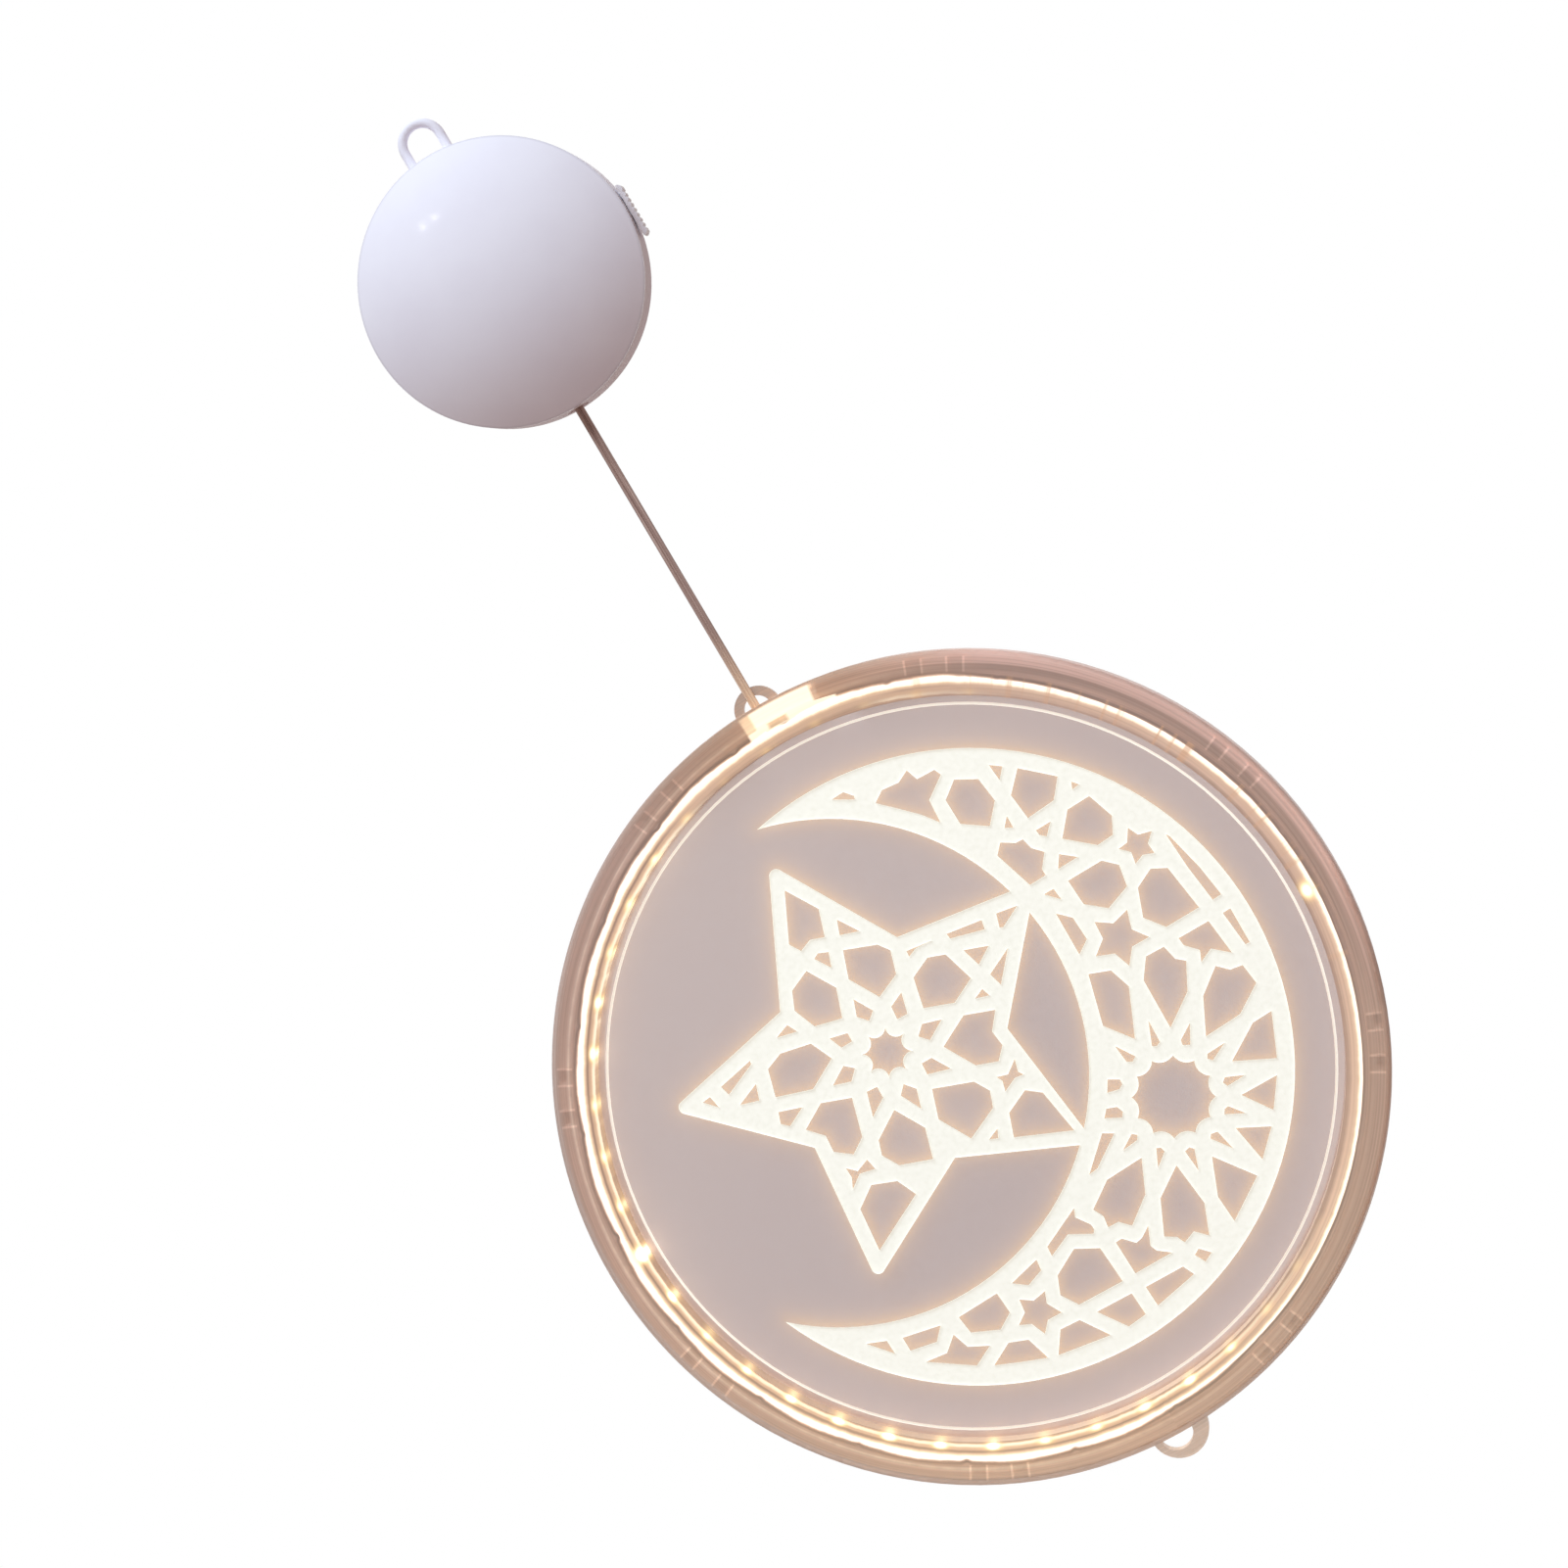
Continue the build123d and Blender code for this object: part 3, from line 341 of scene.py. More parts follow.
def lightStudio():
    world = bpy.context.scene.world or bpy.data.worlds.new("studio")
    bpy.context.scene.world = world
    world.use_nodes = True
    tree = world.node_tree
    tree.nodes.clear()
    soft = put(tree, "Background", {"Color": (*studio["fill"], 1), "Strength": 1.0})
    white = put(tree, "Background", {"Color": (1, 1, 1, 1), "Strength": 1.0})
    path = put(tree, "LightPath").outputs
    seen = maths(tree, "MAXIMUM", path["Is Camera Ray"], path["Is Glossy Ray"])
    seen = maths(tree, "MAXIMUM", seen, path["Is Transmission Ray"])
    mix = put(tree, "MixShader", {0: seen, 1: soft.outputs[0], 2: white.outputs[0]})
    put(tree, "OutputWorld", {"Surface": mix.outputs[0]})

    aim = Vector(photoCamera["aim"])
    for name, (spot, size, power, colour, mirrored) in studio["lamps"].items():
        bpy.ops.object.light_add(type="AREA", location=spot)
        lamp = bpy.context.object
        lamp.name = name
        lamp.data.size = size
        lamp.data.energy = power
        lamp.data.color = colour
        lamp.rotation_euler = (aim - Vector(spot)).to_track_quat("-Z", "Y").to_euler()
        lamp.visible_glossy = mirrored

    clearSelection()
    drop = cadBox[0][2] - studio["floorDrop"]
    bpy.ops.mesh.primitive_circle_add(
        vertices=96, radius=studio["floorRadius"], fill_type="NGON", location=(0, 0, drop)
    )
    floor = bpy.context.object
    floor.name = "floor"
    material, tree, shader, place = newFinish("floorPaint", Roughness=0.9)
    feed(tree, shader, Base_Color=twoTone(tree, grain(tree, place, 6.0), studio["floorTones"], (0.0, 1.0)))
    floor.data.materials.append(material)
    floor.visible_diffuse = False  # the lamp hangs high, so no light comes up from the floor


lightStudio()
print("studio lit")


def makeCoverShell():  # the cover once more, with even shading at the dome's pole
    obj = linked("coverShell", nodes["box_cover"].data.copy())
    weld(obj, 0.002 * mm, outward=False)
    bpy.ops.mesh.customdata_custom_splitnormals_clear()
    bpy.ops.object.shade_smooth_by_angle(angle=math.radians(26))
    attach(obj, "battery_box")
    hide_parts("box_cover")


boxShell = {
    "radius": 31.14,  # mm
    "edge": (0.5, 0.05),  # mm inside the rim, where the painted shade at the rim starts and where it is darkest
    # how dark the painted rim shade gets
    "edgeShade": 0.84,
    "loop": (0.1, 0.4),  # mm outside the rim, where the hanging loop starts
    "seam": (-5.6, -4.6),  # mm, depth of the joint between cover and tray
    "tones": ((240, 240, 250), (244, 245, 254)),
    "cloud": 60.0,  # scale of the tone's noise
    "skin": 2600.0,  # scale of the moulded skin
    "rough": (0.36, 0.46),
    "domeGloss": 0.06,
    "domeCoat": 0.45,
    "wallGloss": 0.02,
}


def boxPlastic(name, gloss, coat):  # white moulded shell: satin dome, duller tray, with painted shade at the dome's rim
    look = boxShell
    material, tree, shader, place = newFinish(
        name, IOR=1.49, Specular_IOR_Level=gloss, Coat_Weight=coat, Coat_Roughness=0.11
    )
    skin = grain(tree, place, look["skin"], 2.0)
    tone = twoTone(tree, grain(tree, place, look["cloud"]), look["tones"])
    coverLow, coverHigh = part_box("box_cover")
    radius = fromMiddle(tree, place, (coverLow + coverHigh) / 2)[0]
    fromRim = maths(tree, "SUBTRACT", radius, look["radius"] * mm)
    paleEdge, darkEdge = look["edge"]
    # painted shade, darker towards the dome's rim
    edge = spread(tree, fromRim, -paleEdge * mm, -darkEdge * mm, 1.0, look["edgeShade"])
    loop = spread(tree, fromRim, *[out * mm for out in look["loop"]])  # not on the hanging loop
    wall = spread(tree, part(tree, place, "Y"), *[y * mm for y in look["seam"]])  # nor on the tray's wall
    edge = maths(tree, "MAXIMUM", edge, maths(tree, "MAXIMUM", loop, wall))
    feed(tree, shader, Base_Color=scaled(tree, tone, edge), Roughness=vary(tree, skin, look["rough"]))
    dent(tree, shader, skin, 0.012)
    return material


knobLook = {
    "scale": 700.0,
    "tones": ((226, 223, 228), (238, 236, 241)),
    "ends": noiseSpan,
    "rough": (0.35, 0.5),
}
nylonLook = {
    "scale": 1500.0,
    "tones": ((30, 30, 33), (48, 48, 52)),
    "ends": (0.35, 0.7),
    "rough": (0.45, 0.6),
}


def mottledPlastic(name, look, **fixed):  # small plain mouldings
    material, tree, shader, place = newFinish(name, **fixed)
    mottle = grain(tree, place, look["scale"])
    feed(tree, shader, Base_Color=twoTone(tree, mottle, look["tones"], look["ends"]))
    feed(tree, shader, Roughness=vary(tree, mottle, look["rough"]))
    return material


steelLook = {"tones": ((150, 150, 154), (205, 205, 208)), "rough": (0.25, 0.39)}
nickelLook = {"tones": ((176, 172, 160), (222, 218, 206)), "rough": (0.2, 0.34)}


def platedMetal(name, look):  # plated metal with fine scratches along one way
    material, tree, shader, place = newFinish(name, Metallic=1.0)
    marks = grain(tree, drawnOut(tree, place, 0.08), 4000.0)
    feed(tree, shader, Base_Color=twoTone(tree, marks, look["tones"]))
    feed(tree, shader, Roughness=vary(tree, marks, look["rough"]))
    dent(tree, shader, marks, 0.08)
    return material


cellLook = {
    "steel": (200, 198, 194),
    "body": (176, 180, 184),
    "band": (66, 84, 108),
    "worn": (126, 128, 130),
    "foot": (0.012, 0.016),  # shares of the length: end of the bare foot and start of the sleeve
    "bandStart": (0.84, 0.844),
    "bandEnd": (0.955, 0.96),
    "bare": 0.958,  # bare metal from here
    "rough": (0.28, 0.42),
}


def cellSleeve(name, node, nubUp):  # plain sleeve: grey body, blue-grey band at the plus end
    look = cellLook
    material, tree, shader, place = newFinish(name, Coat_Weight=0.4, Coat_Roughness=0.12)
    low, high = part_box(node)
    ends = (low.z, high.z) if nubUp else (high.z, low.z)
    along = spread(tree, part(tree, place, "Z"), *ends)
    changes = (("foot", "steel", "body"), ("bandStart", "body", "band"), ("bandEnd", "band", "steel"))
    stops = [(0.0, look["steel"])]
    for change, before, after in changes:
        stops.extend(zip(look[change], (look[before], look[after])))
    tone = toneRamp(tree, along, stops + [(1.0, look["steel"])])
    wear = grain(tree, place, 500.0)
    scuffed = blendColours(tree, spread(tree, wear, 0.62, 0.8, 0.0, 0.3), tone, screen(*look["worn"]))
    feed(tree, shader, Base_Color=scuffed, Metallic=maths(tree, "GREATER_THAN", along, look["bare"]))
    feed(tree, shader, Roughness=vary(tree, wear, look["rough"]))
    return material


makeCoverShell()
dress(boxPlastic("coverPlastic", boxShell["domeGloss"], boxShell["domeCoat"]), "coverShell")
dress(boxPlastic("trayPlastic", boxShell["wallGloss"], 0.0), "box_tray", "battery_door")
dress(mottledPlastic("knobPlastic", knobLook, IOR=1.49), "switch_slider")
dress(mottledPlastic("switchNylon", nylonLook), "switch_body")
dress(platedMetal("screwSteel", steelLook), "case_screws")
contactNames = ("contact_plus", "contact_minus", "contact_bridge_upper", "contact_bridge_lower")
dress(platedMetal("contactNickel", nickelLook), *contactNames)
for side, nubUp in (("left", True), ("middle", False), ("right", True)):
    cell = "battery_cell_" + side
    dress(cellSleeve(side + "Sleeve", cell, nubUp), cell)
print("battery box finished")

cordLook = {
    "tones": [(0.3, (148, 120, 111)), (0.55, (174, 147, 136)), (0.75, (204, 182, 170))],
    "ringLitTones": ((212, 178, 148), (244, 218, 188)),  # painted light of the ring, near it
    "ringLitFrom": (-0.118, -0.142),  # heights between which the ring's painted light comes in
    "rough": (0.28, 0.45),
}


def cordPlastic():  # smoky clear lead, with the lamp's light near the ring painted into its colour
    look = cordLook
    material, tree, shader, place = newFinish("cordPlastic", IOR=1.5, Coat_Weight=0.3, Coat_Roughness=0.2)
    near = spread(tree, part(tree, place, "Z"), *look["ringLitFrom"], soft=True)
    streak = grain(tree, drawnOut(tree, place, 0.02), 2600.0, 2.0)
    tone = toneRamp(tree, streak, look["tones"])
    # painted light of the ring
    warm = twoTone(tree, streak, look["ringLitTones"])
    feed(tree, shader, Base_Color=blendColours(tree, near, tone, warm))
    feed(tree, shader, Roughness=vary(tree, streak, look["rough"]))
    return material


dress(cordPlastic(), "hangingCord", "cord_knot", "strip_leads")

ringLook = {
    "span": (80.0, 97.0),  # mm of radius that the three ramps below run over
    "shade": [  # painted shade of the plastic, by radius
        (80.3, 1.0), (81.9, 0.86), (82.15, 0.70), (82.4, 0.9), (84.5, 0.95), (84.75, 0.62), (85.0, 0.62),
        (85.35, 0.88), (85.9, 0.98), (86.85, 1.0), (88.6, 1.0), (89.4, 0.94), (89.9, 0.76), (90.3, 0.88),
        (92.0, 0.96), (95.6, 0.88),
    ],
    "glow": [  # light of the strip that the plastic carries, by radius
        (80.0, (52, 36, 16)), (80.25, (90, 64, 32)), (80.45, (150, 124, 84)), (80.65, (238, 228, 198)),
        (81.0, (232, 216, 184)), (81.3, (176, 148, 112)), (81.8, (136, 108, 70)), (82.05, (60, 38, 8)),
        (82.3, (70, 48, 14)), (82.55, (150, 124, 88)), (82.9, (200, 180, 144)), (83.1, (255, 248, 224)),
        (84.15, (255, 250, 238)), (84.45, (140, 104, 74)), (84.7, (0, 0, 0)), (96.0, (0, 0, 0)),
    ],
    "farGlow": [  # the same inside the bright band on the right, where the strip is seen edge on
        (80.0, (20, 12, 6)), (80.6, (76, 58, 42)), (81.0, (110, 92, 74)), (81.5, (140, 118, 98)),
        (82.1, (140, 118, 96)), (82.6, (160, 138, 112)), (82.9, (218, 202, 174)), (83.1, (255, 248, 224)),
    ],
    "farShade": 0.962,  # painted shade level of the plastic there
    "glowDrop": 0.3,  # mm that the lines of light lie lower than the ring
    "topShift": 0.6,  # mm that they lie further out at the upper right
    "wander": 0.16,  # mm that they wander
    "farDrawn": (0.65, 1.1),  # mm that the bright band is narrower on the right, above and below
    "swell": 0.2,  # mm that its outer edge swells and draws in, once over every two chips
    "notch": (0.7, 0.75),  # mm, depth and half width of a notch between every second pair of chips
    "notchArc": 1.47,  # mm along the ring per degree, at the notches
    "gapTone": (140, 100, 52),  # golden breaks in the bright band at the upper right
    "solid": 0.94,  # alpha of the inner bands
    "clear": 0.66,  # alpha of the wide outer band
    "tones": [(0.0, (196, 168, 154)), (0.5, (205, 176, 158)), (1.0, (233, 206, 178))],  # top to bottom
    "streak": (0.84, 1.20),  # play of the moulded streaks
    "noise": {"ripple": 22.0, "gap": 26.0, "notch": 38.0, "spot": 45.0, "streak": 2600.0},  # scales
    "paleLine": (86.25, 0.3),  # mm, radius and half width of the painted light line in the outer band
    "paleTint": (1.0, 1.35, 1.35),  # the painted light that line adds
    "litWall": (1.4, 1.4, 1.45, 1),  # painted light on the outer wall at the upper right, with painted shade beside it
    "shadedWall": (0.8, 0.8, 0.8, 1),
    "loopTone": 0.82,  # the upper loop is darker
    "firstLight": 15.0,  # degrees clockwise from the top
    "lightPitch": 343.4 / 43,
    "spotRadius": 81.0,  # mm, where the chips mirror in the inner edge
    "spotSize": (1.45, 0.74),  # mm, half length and half width of a spot
    "spotArc": 1.41,  # mm along the ring per degree, at the spots
    "spotFringe": (255, 214, 92),  # yellow round each spot
    "fringeGain": 1.6,
    "core": (2.2, 2.8),  # power and gain of a spot's white middle
    "flares": (-89.5, 92.0),  # degrees, the chips that shine straight out
    "flareRadius": 81.9,  # mm
    "flareSize": (1.7, 1.3),  # mm, half length and half width
    "flareLight": 0.75,
    "block": (-2.7, 8.3),  # degrees, the lit block that holds the cord
    "blockLonger": 3.2,  # degrees that it is longer beside the bright band
    "blockTones": ((255, 206, 128), (255, 236, 210)),
    "blockLitTint": (1.02, 0.97, 0.82, 1),  # painted warm light of the lit block on the plastic near it
    "patch": (2.2, 84.9),  # degrees and mm, darker place on the lit block
    "patchSize": (1.5, 0.65),
    "patchTone": 0.45,
    "corner": (-0.9, -1.3),  # degrees, darker corner of the lit block
    "cornerTone": 0.5,
    "firstHook": 26.0,  # degrees, middle of the first pair of snap hooks
    "hookPitch": 45.0,
    "hookRadius": 87.0,  # mm
    "hookSides": (2.68, 6.28),  # mm along the ring from a pair's middle
    "hookLine": (0.36, 0.14),  # mm from a side, where its painted light line ends and where it is full
    "hookLight": 0.40,
    "hookFace": (1.7, 1.5),  # mm, half width of the painted shade on the face between a hook's two lines
    "hookShade": 0.08,
}

ringZones = {  # edges of a zone: from the radius in mm where it is 0 to the one where it is 1
    "inside": [(83.1, 82.9)],  # inside the bright band
    "scallops": [(83.5, 84.0), (86.0, 85.2)],  # outer edge of the bright band
    "gaps": [(85.0, 84.6)],  # the bright band and what is inside it
    "wide": [(84.4, 85.2)],  # the wide outer band and the loops
    "hooks": [(85.2, 85.5), (88.8, 88.5)],
    "shadedWall": [(85.6, 85.9), (87.2, 86.9)],
    "litWall": [(87.1, 87.5)],
    "block": [(83.6, 84.3), (89.5, 89.0)],
    "blockStep": [(85.3, 85.6)],  # the lit block is shorter out here
    "loops": [(90.2, 90.8)],
}


def zone(tree, radius, name):  # 1 inside a zone of the ring, 0 outside
    return product(tree, *[spread(tree, radius, none * mm, full * mm) for none, full in ringZones[name]])


def byRadius(tree, radius, stops):  # colour ramp over the ring's radius, stops are (mm, colour)
    low, high = ringLook["span"]
    along = spread(tree, radius, low * mm, high * mm)
    return ramp(tree, along, [((r - low) / (high - low), colour) for r, colour in stops])


def noiseRound(tree, angle, scale):  # noise that changes only along the ring
    return grain(tree, put(tree, "CombineXYZ", {0: product(tree, angle, scale)}).outputs[0], 1.0)


def fromNearest(tree, degrees, first, pitch):  # degrees from the nearest of marks that repeat
    turned = maths(tree, "SUBTRACT", degrees, first - pitch / 2)
    return maths(tree, "SUBTRACT", maths(tree, "FLOORED_MODULO", turned, pitch), pitch / 2)


def ringPlaces(tree, place):  # where a point of the ring lies, as sockets
    at = SimpleNamespace()
    at.radius, at.x, at.z = fromMiddle(tree, place, ringMid)
    at.angle = maths(tree, "ARCTAN2", at.x, at.z)  # clockwise from the top
    at.degrees = maths(tree, "MULTIPLY", at.angle, 180 / math.pi)
    at.around = maths(tree, "FLOORED_MODULO", at.degrees, 360.0)  # 0 to 360, as the chips are counted
    at.front = spread(tree, part(tree, place, "Y"), 2 * mm, -2 * mm)  # 1 on the front half
    at.right = spread(tree, at.x, 0.0, 0.05)  # metres from the ring's middle, like the next ones
    at.top = spread(tree, at.z, 0.074, 0.079)
    at.upperRight = product(tree, spread(tree, at.x, 0.02, 0.05), spread(tree, at.z, -0.03, 0.0))
    at.inside = zone(tree, at.radius, "inside")
    at.far = product(tree, at.inside, maths(tree, "MAXIMUM", at.right, at.top))
    at.ripple = noiseRound(tree, at.angle, ringLook["noise"]["ripple"])
    lineMid = ringMid - Vector((0, 0, ringLook["glowDrop"] * mm))
    shifted = product(tree, spread(tree, at.z, 0.062, 0.076), spread(tree, at.x, 0.0, 0.02))
    shifted = product(tree, shifted, ringLook["topShift"] * mm)
    at.lineRadius = maths(tree, "SUBTRACT", fromMiddle(tree, place, lineMid)[0], shifted)
    at.scalloped = scallopedRadius(tree, place, at)
    return at


def scallopedRadius(tree, place, at):  # draws the bright band's outer edge in and out, over every two chips
    look = ringLook
    pitch = look["lightPitch"]
    depth, halfWide = look["notch"]
    fromNotch = fromNearest(tree, at.around, look["firstLight"] + pitch / 2, 2 * pitch)
    swell = maths(tree, "COSINE", product(tree, fromNotch, math.pi / pitch))
    sharp = bell(tree, product(tree, fromNotch, look["notchArc"] / halfWide))
    uneven = spread(tree, grain(tree, place, look["noise"]["notch"]), 0.4, 0.6, 0.3, 1.0)  # no two alike
    sharp = product(tree, sharp, uneven, depth * mm)
    drawn = maths(tree, "ADD", product(tree, swell, look["swell"] * mm), sharp)
    drawn = product(tree, drawn, spread(tree, at.right, 0.0, 1.0, 1.0, 0.4))
    above, below = look["farDrawn"]
    beside = maths(tree, "SUBTRACT", at.x, product(tree, at.z, 0.3))  # reaches further round below
    beside = spread(tree, beside, 0.01, 0.05)
    narrow = product(tree, beside, spread(tree, at.z, 0.02, -0.02, above * mm, below * mm))
    drawn = product(tree, maths(tree, "ADD", drawn, narrow), zone(tree, at.radius, "scallops"))
    return maths(tree, "ADD", at.lineRadius, drawn)


def stripGlow(tree, at):  # lines of light that the strip throws into the plastic
    look = ringLook
    wander = look["wander"] * mm
    waved = maths(tree, "ADD", at.scalloped, spread(tree, at.ripple, 0.25, 0.75, -wander, wander))
    glow = byRadius(tree, waved, [(r, screen(*tone)) for r, tone in look["glow"]])
    farGlow = byRadius(tree, waved, [(r, screen(*tone)) for r, tone in look["farGlow"]])
    glow = blendColours(tree, at.far, glow, farGlow)
    gaps = spread(tree, noiseRound(tree, at.angle, look["noise"]["gap"]), 0.46, 0.38, 0.0, 0.7)
    gaps = product(tree, gaps, at.upperRight, zone(tree, at.radius, "gaps"))
    glow = blendColours(tree, gaps, glow, screen(*look["gapTone"]))
    less = spread(tree, at.front, 1.0, 0.0, 0.0, 0.7)  # dimmer on the rear half
    return scaled(tree, glow, maths(tree, "SUBTRACT", 1.0, product(tree, at.inside, less)))


def chipSpots(tree, place, at):  # painted reflections of the chips in the inner edge, brightest at the lower left, and their flares
    look = ringLook
    halfLong, halfWide = look["spotSize"]
    fromChip = fromNearest(tree, at.around, look["firstLight"], look["lightPitch"])
    sideways = product(tree, fromChip, look["spotArc"] / halfLong)
    spots = bell(tree, sideways, offBy(tree, at.lineRadius, look["spotRadius"] * mm, halfWide * mm))
    uneven = spread(tree, grain(tree, place, look["noise"]["spot"]), 0.38, 0.62, 0.6, 1.25)
    slope = maths(tree, "ADD", at.x, at.z)  # from lower left to upper right
    lower = spread(tree, slope, 0.06, -0.07, 0.35, 1.0)
    lower = product(tree, lower, maths(tree, "SUBTRACT", 1.0, at.right))
    lower = product(tree, lower, spread(tree, at.top, 0.0, 1.0, 1.0, 0.3))
    spots = product(tree, spots, uneven, lower, at.front)
    flareLong, flareWide = look["flareSize"]
    flareUp = offBy(tree, at.radius, look["flareRadius"] * mm, flareWide * mm)
    for turn in look["flares"]:
        flare = bell(tree, offBy(tree, at.degrees, turn, flareLong / look["spotArc"]), flareUp)
        spots = maths(tree, "ADD", spots, product(tree, flare, look["flareLight"], at.front))
    return spots


def blockLight(tree, at):  # how strongly the lit block shines, and its darker places
    look = ringLook
    first, last = look["block"]
    step = zone(tree, at.radius, "blockStep")
    last = maths(tree, "ADD", spread(tree, step, 0.0, 1.0, look["blockLonger"], 0.0), last)
    block = spread(tree, at.degrees, first - 0.1, first + 0.25)
    block = product(tree, block, spread(tree, maths(tree, "SUBTRACT", last, at.degrees), -0.1, 0.3))
    block = product(tree, block, zone(tree, at.radius, "block"))
    halfLong, halfWide = look["patchSize"]
    along = maths(tree, "ABSOLUTE", offBy(tree, at.degrees, look["patch"][0], halfLong))
    across = maths(tree, "ABSOLUTE", offBy(tree, at.radius, look["patch"][1] * mm, halfWide * mm))
    patched = spread(tree, maths(tree, "MAXIMUM", along, across), 0.8, 1.2, look["patchTone"], 1.0)
    corner = product(tree, spread(tree, at.degrees, *look["corner"]), step)
    patched = product(tree, patched, spread(tree, corner, 0.0, 1.0, 1.0, look["cornerTone"]))
    return product(tree, block, patched), patched


def hookMarks(tree, at):  # painted light lines beside the snap hooks, with painted shade between them, as a factor
    look = ringLook
    fromPair = maths(tree, "ABSOLUTE", fromNearest(tree, at.degrees, look["firstHook"], look["hookPitch"]))
    fromPair = product(tree, fromPair, math.radians(look["hookRadius"]))  # mm along the ring
    marks = 0.0
    for side in look["hookSides"]:
        gap = maths(tree, "ABSOLUTE", maths(tree, "SUBTRACT", fromPair, side))
        marks = maths(tree, "ADD", marks, spread(tree, gap, *look["hookLine"], 0.0, look["hookLight"]))
    between = maths(tree, "ABSOLUTE", maths(tree, "SUBTRACT", fromPair, sum(look["hookSides"]) / 2))
    marks = maths(tree, "SUBTRACT", marks, spread(tree, between, *look["hookFace"], 0.0, look["hookShade"]))
    return maths(tree, "ADD", product(tree, marks, zone(tree, at.radius, "hooks")), 1.0)


def ringTone(tree, at):  # colour of the plastic, with painted shade and light lines, the lit block's painted light and the hooks' painted marks
    look = ringLook
    # painted shade lines, by radius
    shade = byRadius(tree, at.scalloped, [(r, (v, v, v, 1)) for r, v in look["shade"]])
    shade = blendColours(tree, at.far, shade, (*[look["farShade"]] * 3, 1))
    leaned = maths(tree, "ADD", at.z, product(tree, at.x, 0.18))
    toned = toneRamp(tree, spread(tree, leaned, 0.09, -0.09), look["tones"])
    toned = vectors(tree, "MULTIPLY", toned, shade)
    across = product(tree, at.radius, look["noise"]["streak"])
    streakPlace = put(tree, "CombineXYZ", {0: across, 1: at.angle}).outputs[0]
    toned = scaled(tree, toned, vary(tree, grain(tree, streakPlace, 1.0, 2.0), look["streak"]))

    # painted warm light of the lit block
    fromBlock = maths(tree, "ABSOLUTE", maths(tree, "SUBTRACT", at.degrees, sum(look["block"]) / 2))
    toned = blendColours(tree, spread(tree, fromBlock, 30.0, 8.0), toned, look["blockLitTint"], "MULTIPLY")

    # painted light line in the outer band, stronger on the left
    lineMid, lineHalf = look["paleLine"]
    pale = bell(tree, offBy(tree, at.radius, lineMid * mm, lineHalf * mm))
    pale = product(tree, pale, spread(tree, at.x, 0.04, -0.05, 0.08, 0.5))
    pale = product(tree, pale, spread(tree, at.ripple, 0.3, 0.6, 0.55, 1.2))
    paleTint = vectors(tree, "ADD", scaled(tree, look["paleTint"], pale), (1, 1, 1))
    toned = vectors(tree, "MULTIPLY", toned, paleTint)
    # painted light and shade on the outer wall at the upper right
    for wall in ("litWall", "shadedWall"):
        share = product(tree, at.upperRight, zone(tree, at.radius, wall))
        toned = blendColours(tree, share, toned, look[wall], "MULTIPLY")

    toned = scaled(tree, toned, hookMarks(tree, at))
    upperLoop = product(tree, zone(tree, at.radius, "loops"), maths(tree, "GREATER_THAN", at.z, 0.0))
    return scaled(tree, toned, spread(tree, upperLoop, 0.0, 1.0, 1.0, look["loopTone"]))


def ringPlastic():  # clear plastic, tinted by what it stands against, with the strip's light in it
    look = ringLook
    material, tree, shader, place = newFinish("ringPlastic", IOR=1.49, Roughness=0.34, Emission_Strength=1.0)
    at = ringPlaces(tree, place)
    spots = chipSpots(tree, place, at)
    fringe = maths(tree, "MULTIPLY", spots, look["fringeGain"], limit=True)
    glow = blendColours(tree, fringe, stripGlow(tree, at), screen(*look["spotFringe"]))
    power, gain = look["core"]
    core = product(tree, maths(tree, "POWER", spots, power), gain)
    glow = vectors(tree, "ADD", glow, core)
    block, patched = blockLight(tree, at)
    litTone = blendColours(tree, patched, *[screen(*tone) for tone in look["blockTones"]])
    glow = vectors(tree, "ADD", glow, scaled(tree, litTone, block))
    thinner = look["solid"] - look["clear"]
    wide = product(tree, zone(tree, at.radius, "wide"), thinner)
    alpha = maths(tree, "SUBTRACT", look["solid"], wide)
    alpha = maths(tree, "ADD", alpha, product(tree, block, thinner), limit=True)
    feed(tree, shader, Base_Color=ringTone(tree, at), Emission_Color=glow, Alpha=alpha)
    return material


ringHalves = ("ring_front", "ring_rear")
dress(ringPlastic(), *ringHalves)
for half in ringHalves:
    nodes[half].visible_shadow = False  # clear plastic lets the lamps through
print("ring finished")

anchorLook = {  # clear block, lit right through
    "rough": 0.2,
    "strength": 1.0,
    "scale": 420.0,
    "tones": ((255, 236, 205), (255, 252, 244)),
    "light": ((250, 222, 180), (255, 250, 238)),
    "lightEnds": (0.35, 0.6),
}
stripLook = {  # white strip between the chips, with painted light: it glows a little
    "rough": 0.35,
    "strength": 0.8,
    "scale": 300.0,
    "tones": ((244, 240, 228), (252, 250, 244)),
    "light": ((250, 226, 180), (255, 244, 220)),
    "lightEnds": noiseSpan,
}
chipLook = {
    "rough": 0.3,
    "strength": 1.4,
    "scale": 900.0,
    "tones": ((255, 225, 150), (255, 246, 214)),
    "light": ((255, 214, 110), (255, 246, 210)),
    "lightEnds": noiseSpan,
}


def litFinish(name, look):  # shines all over, a little unevenly
    material, tree, shader, place = newFinish(
        name, Roughness=look["rough"], Emission_Strength=look["strength"]
    )
    cloud = grain(tree, place, look["scale"])
    feed(tree, shader, Base_Color=twoTone(tree, cloud, look["tones"]))
    feed(tree, shader, Emission_Color=twoTone(tree, cloud, look["light"], look["lightEnds"]))
    return material


dress(litFinish("anchorGlow", anchorLook), "cord_anchor")
dress(litFinish("stripSkin", stripLook), "led_strip")
dress(litFinish("chipGlow", chipLook), "led_chips")
print("light strip finished")

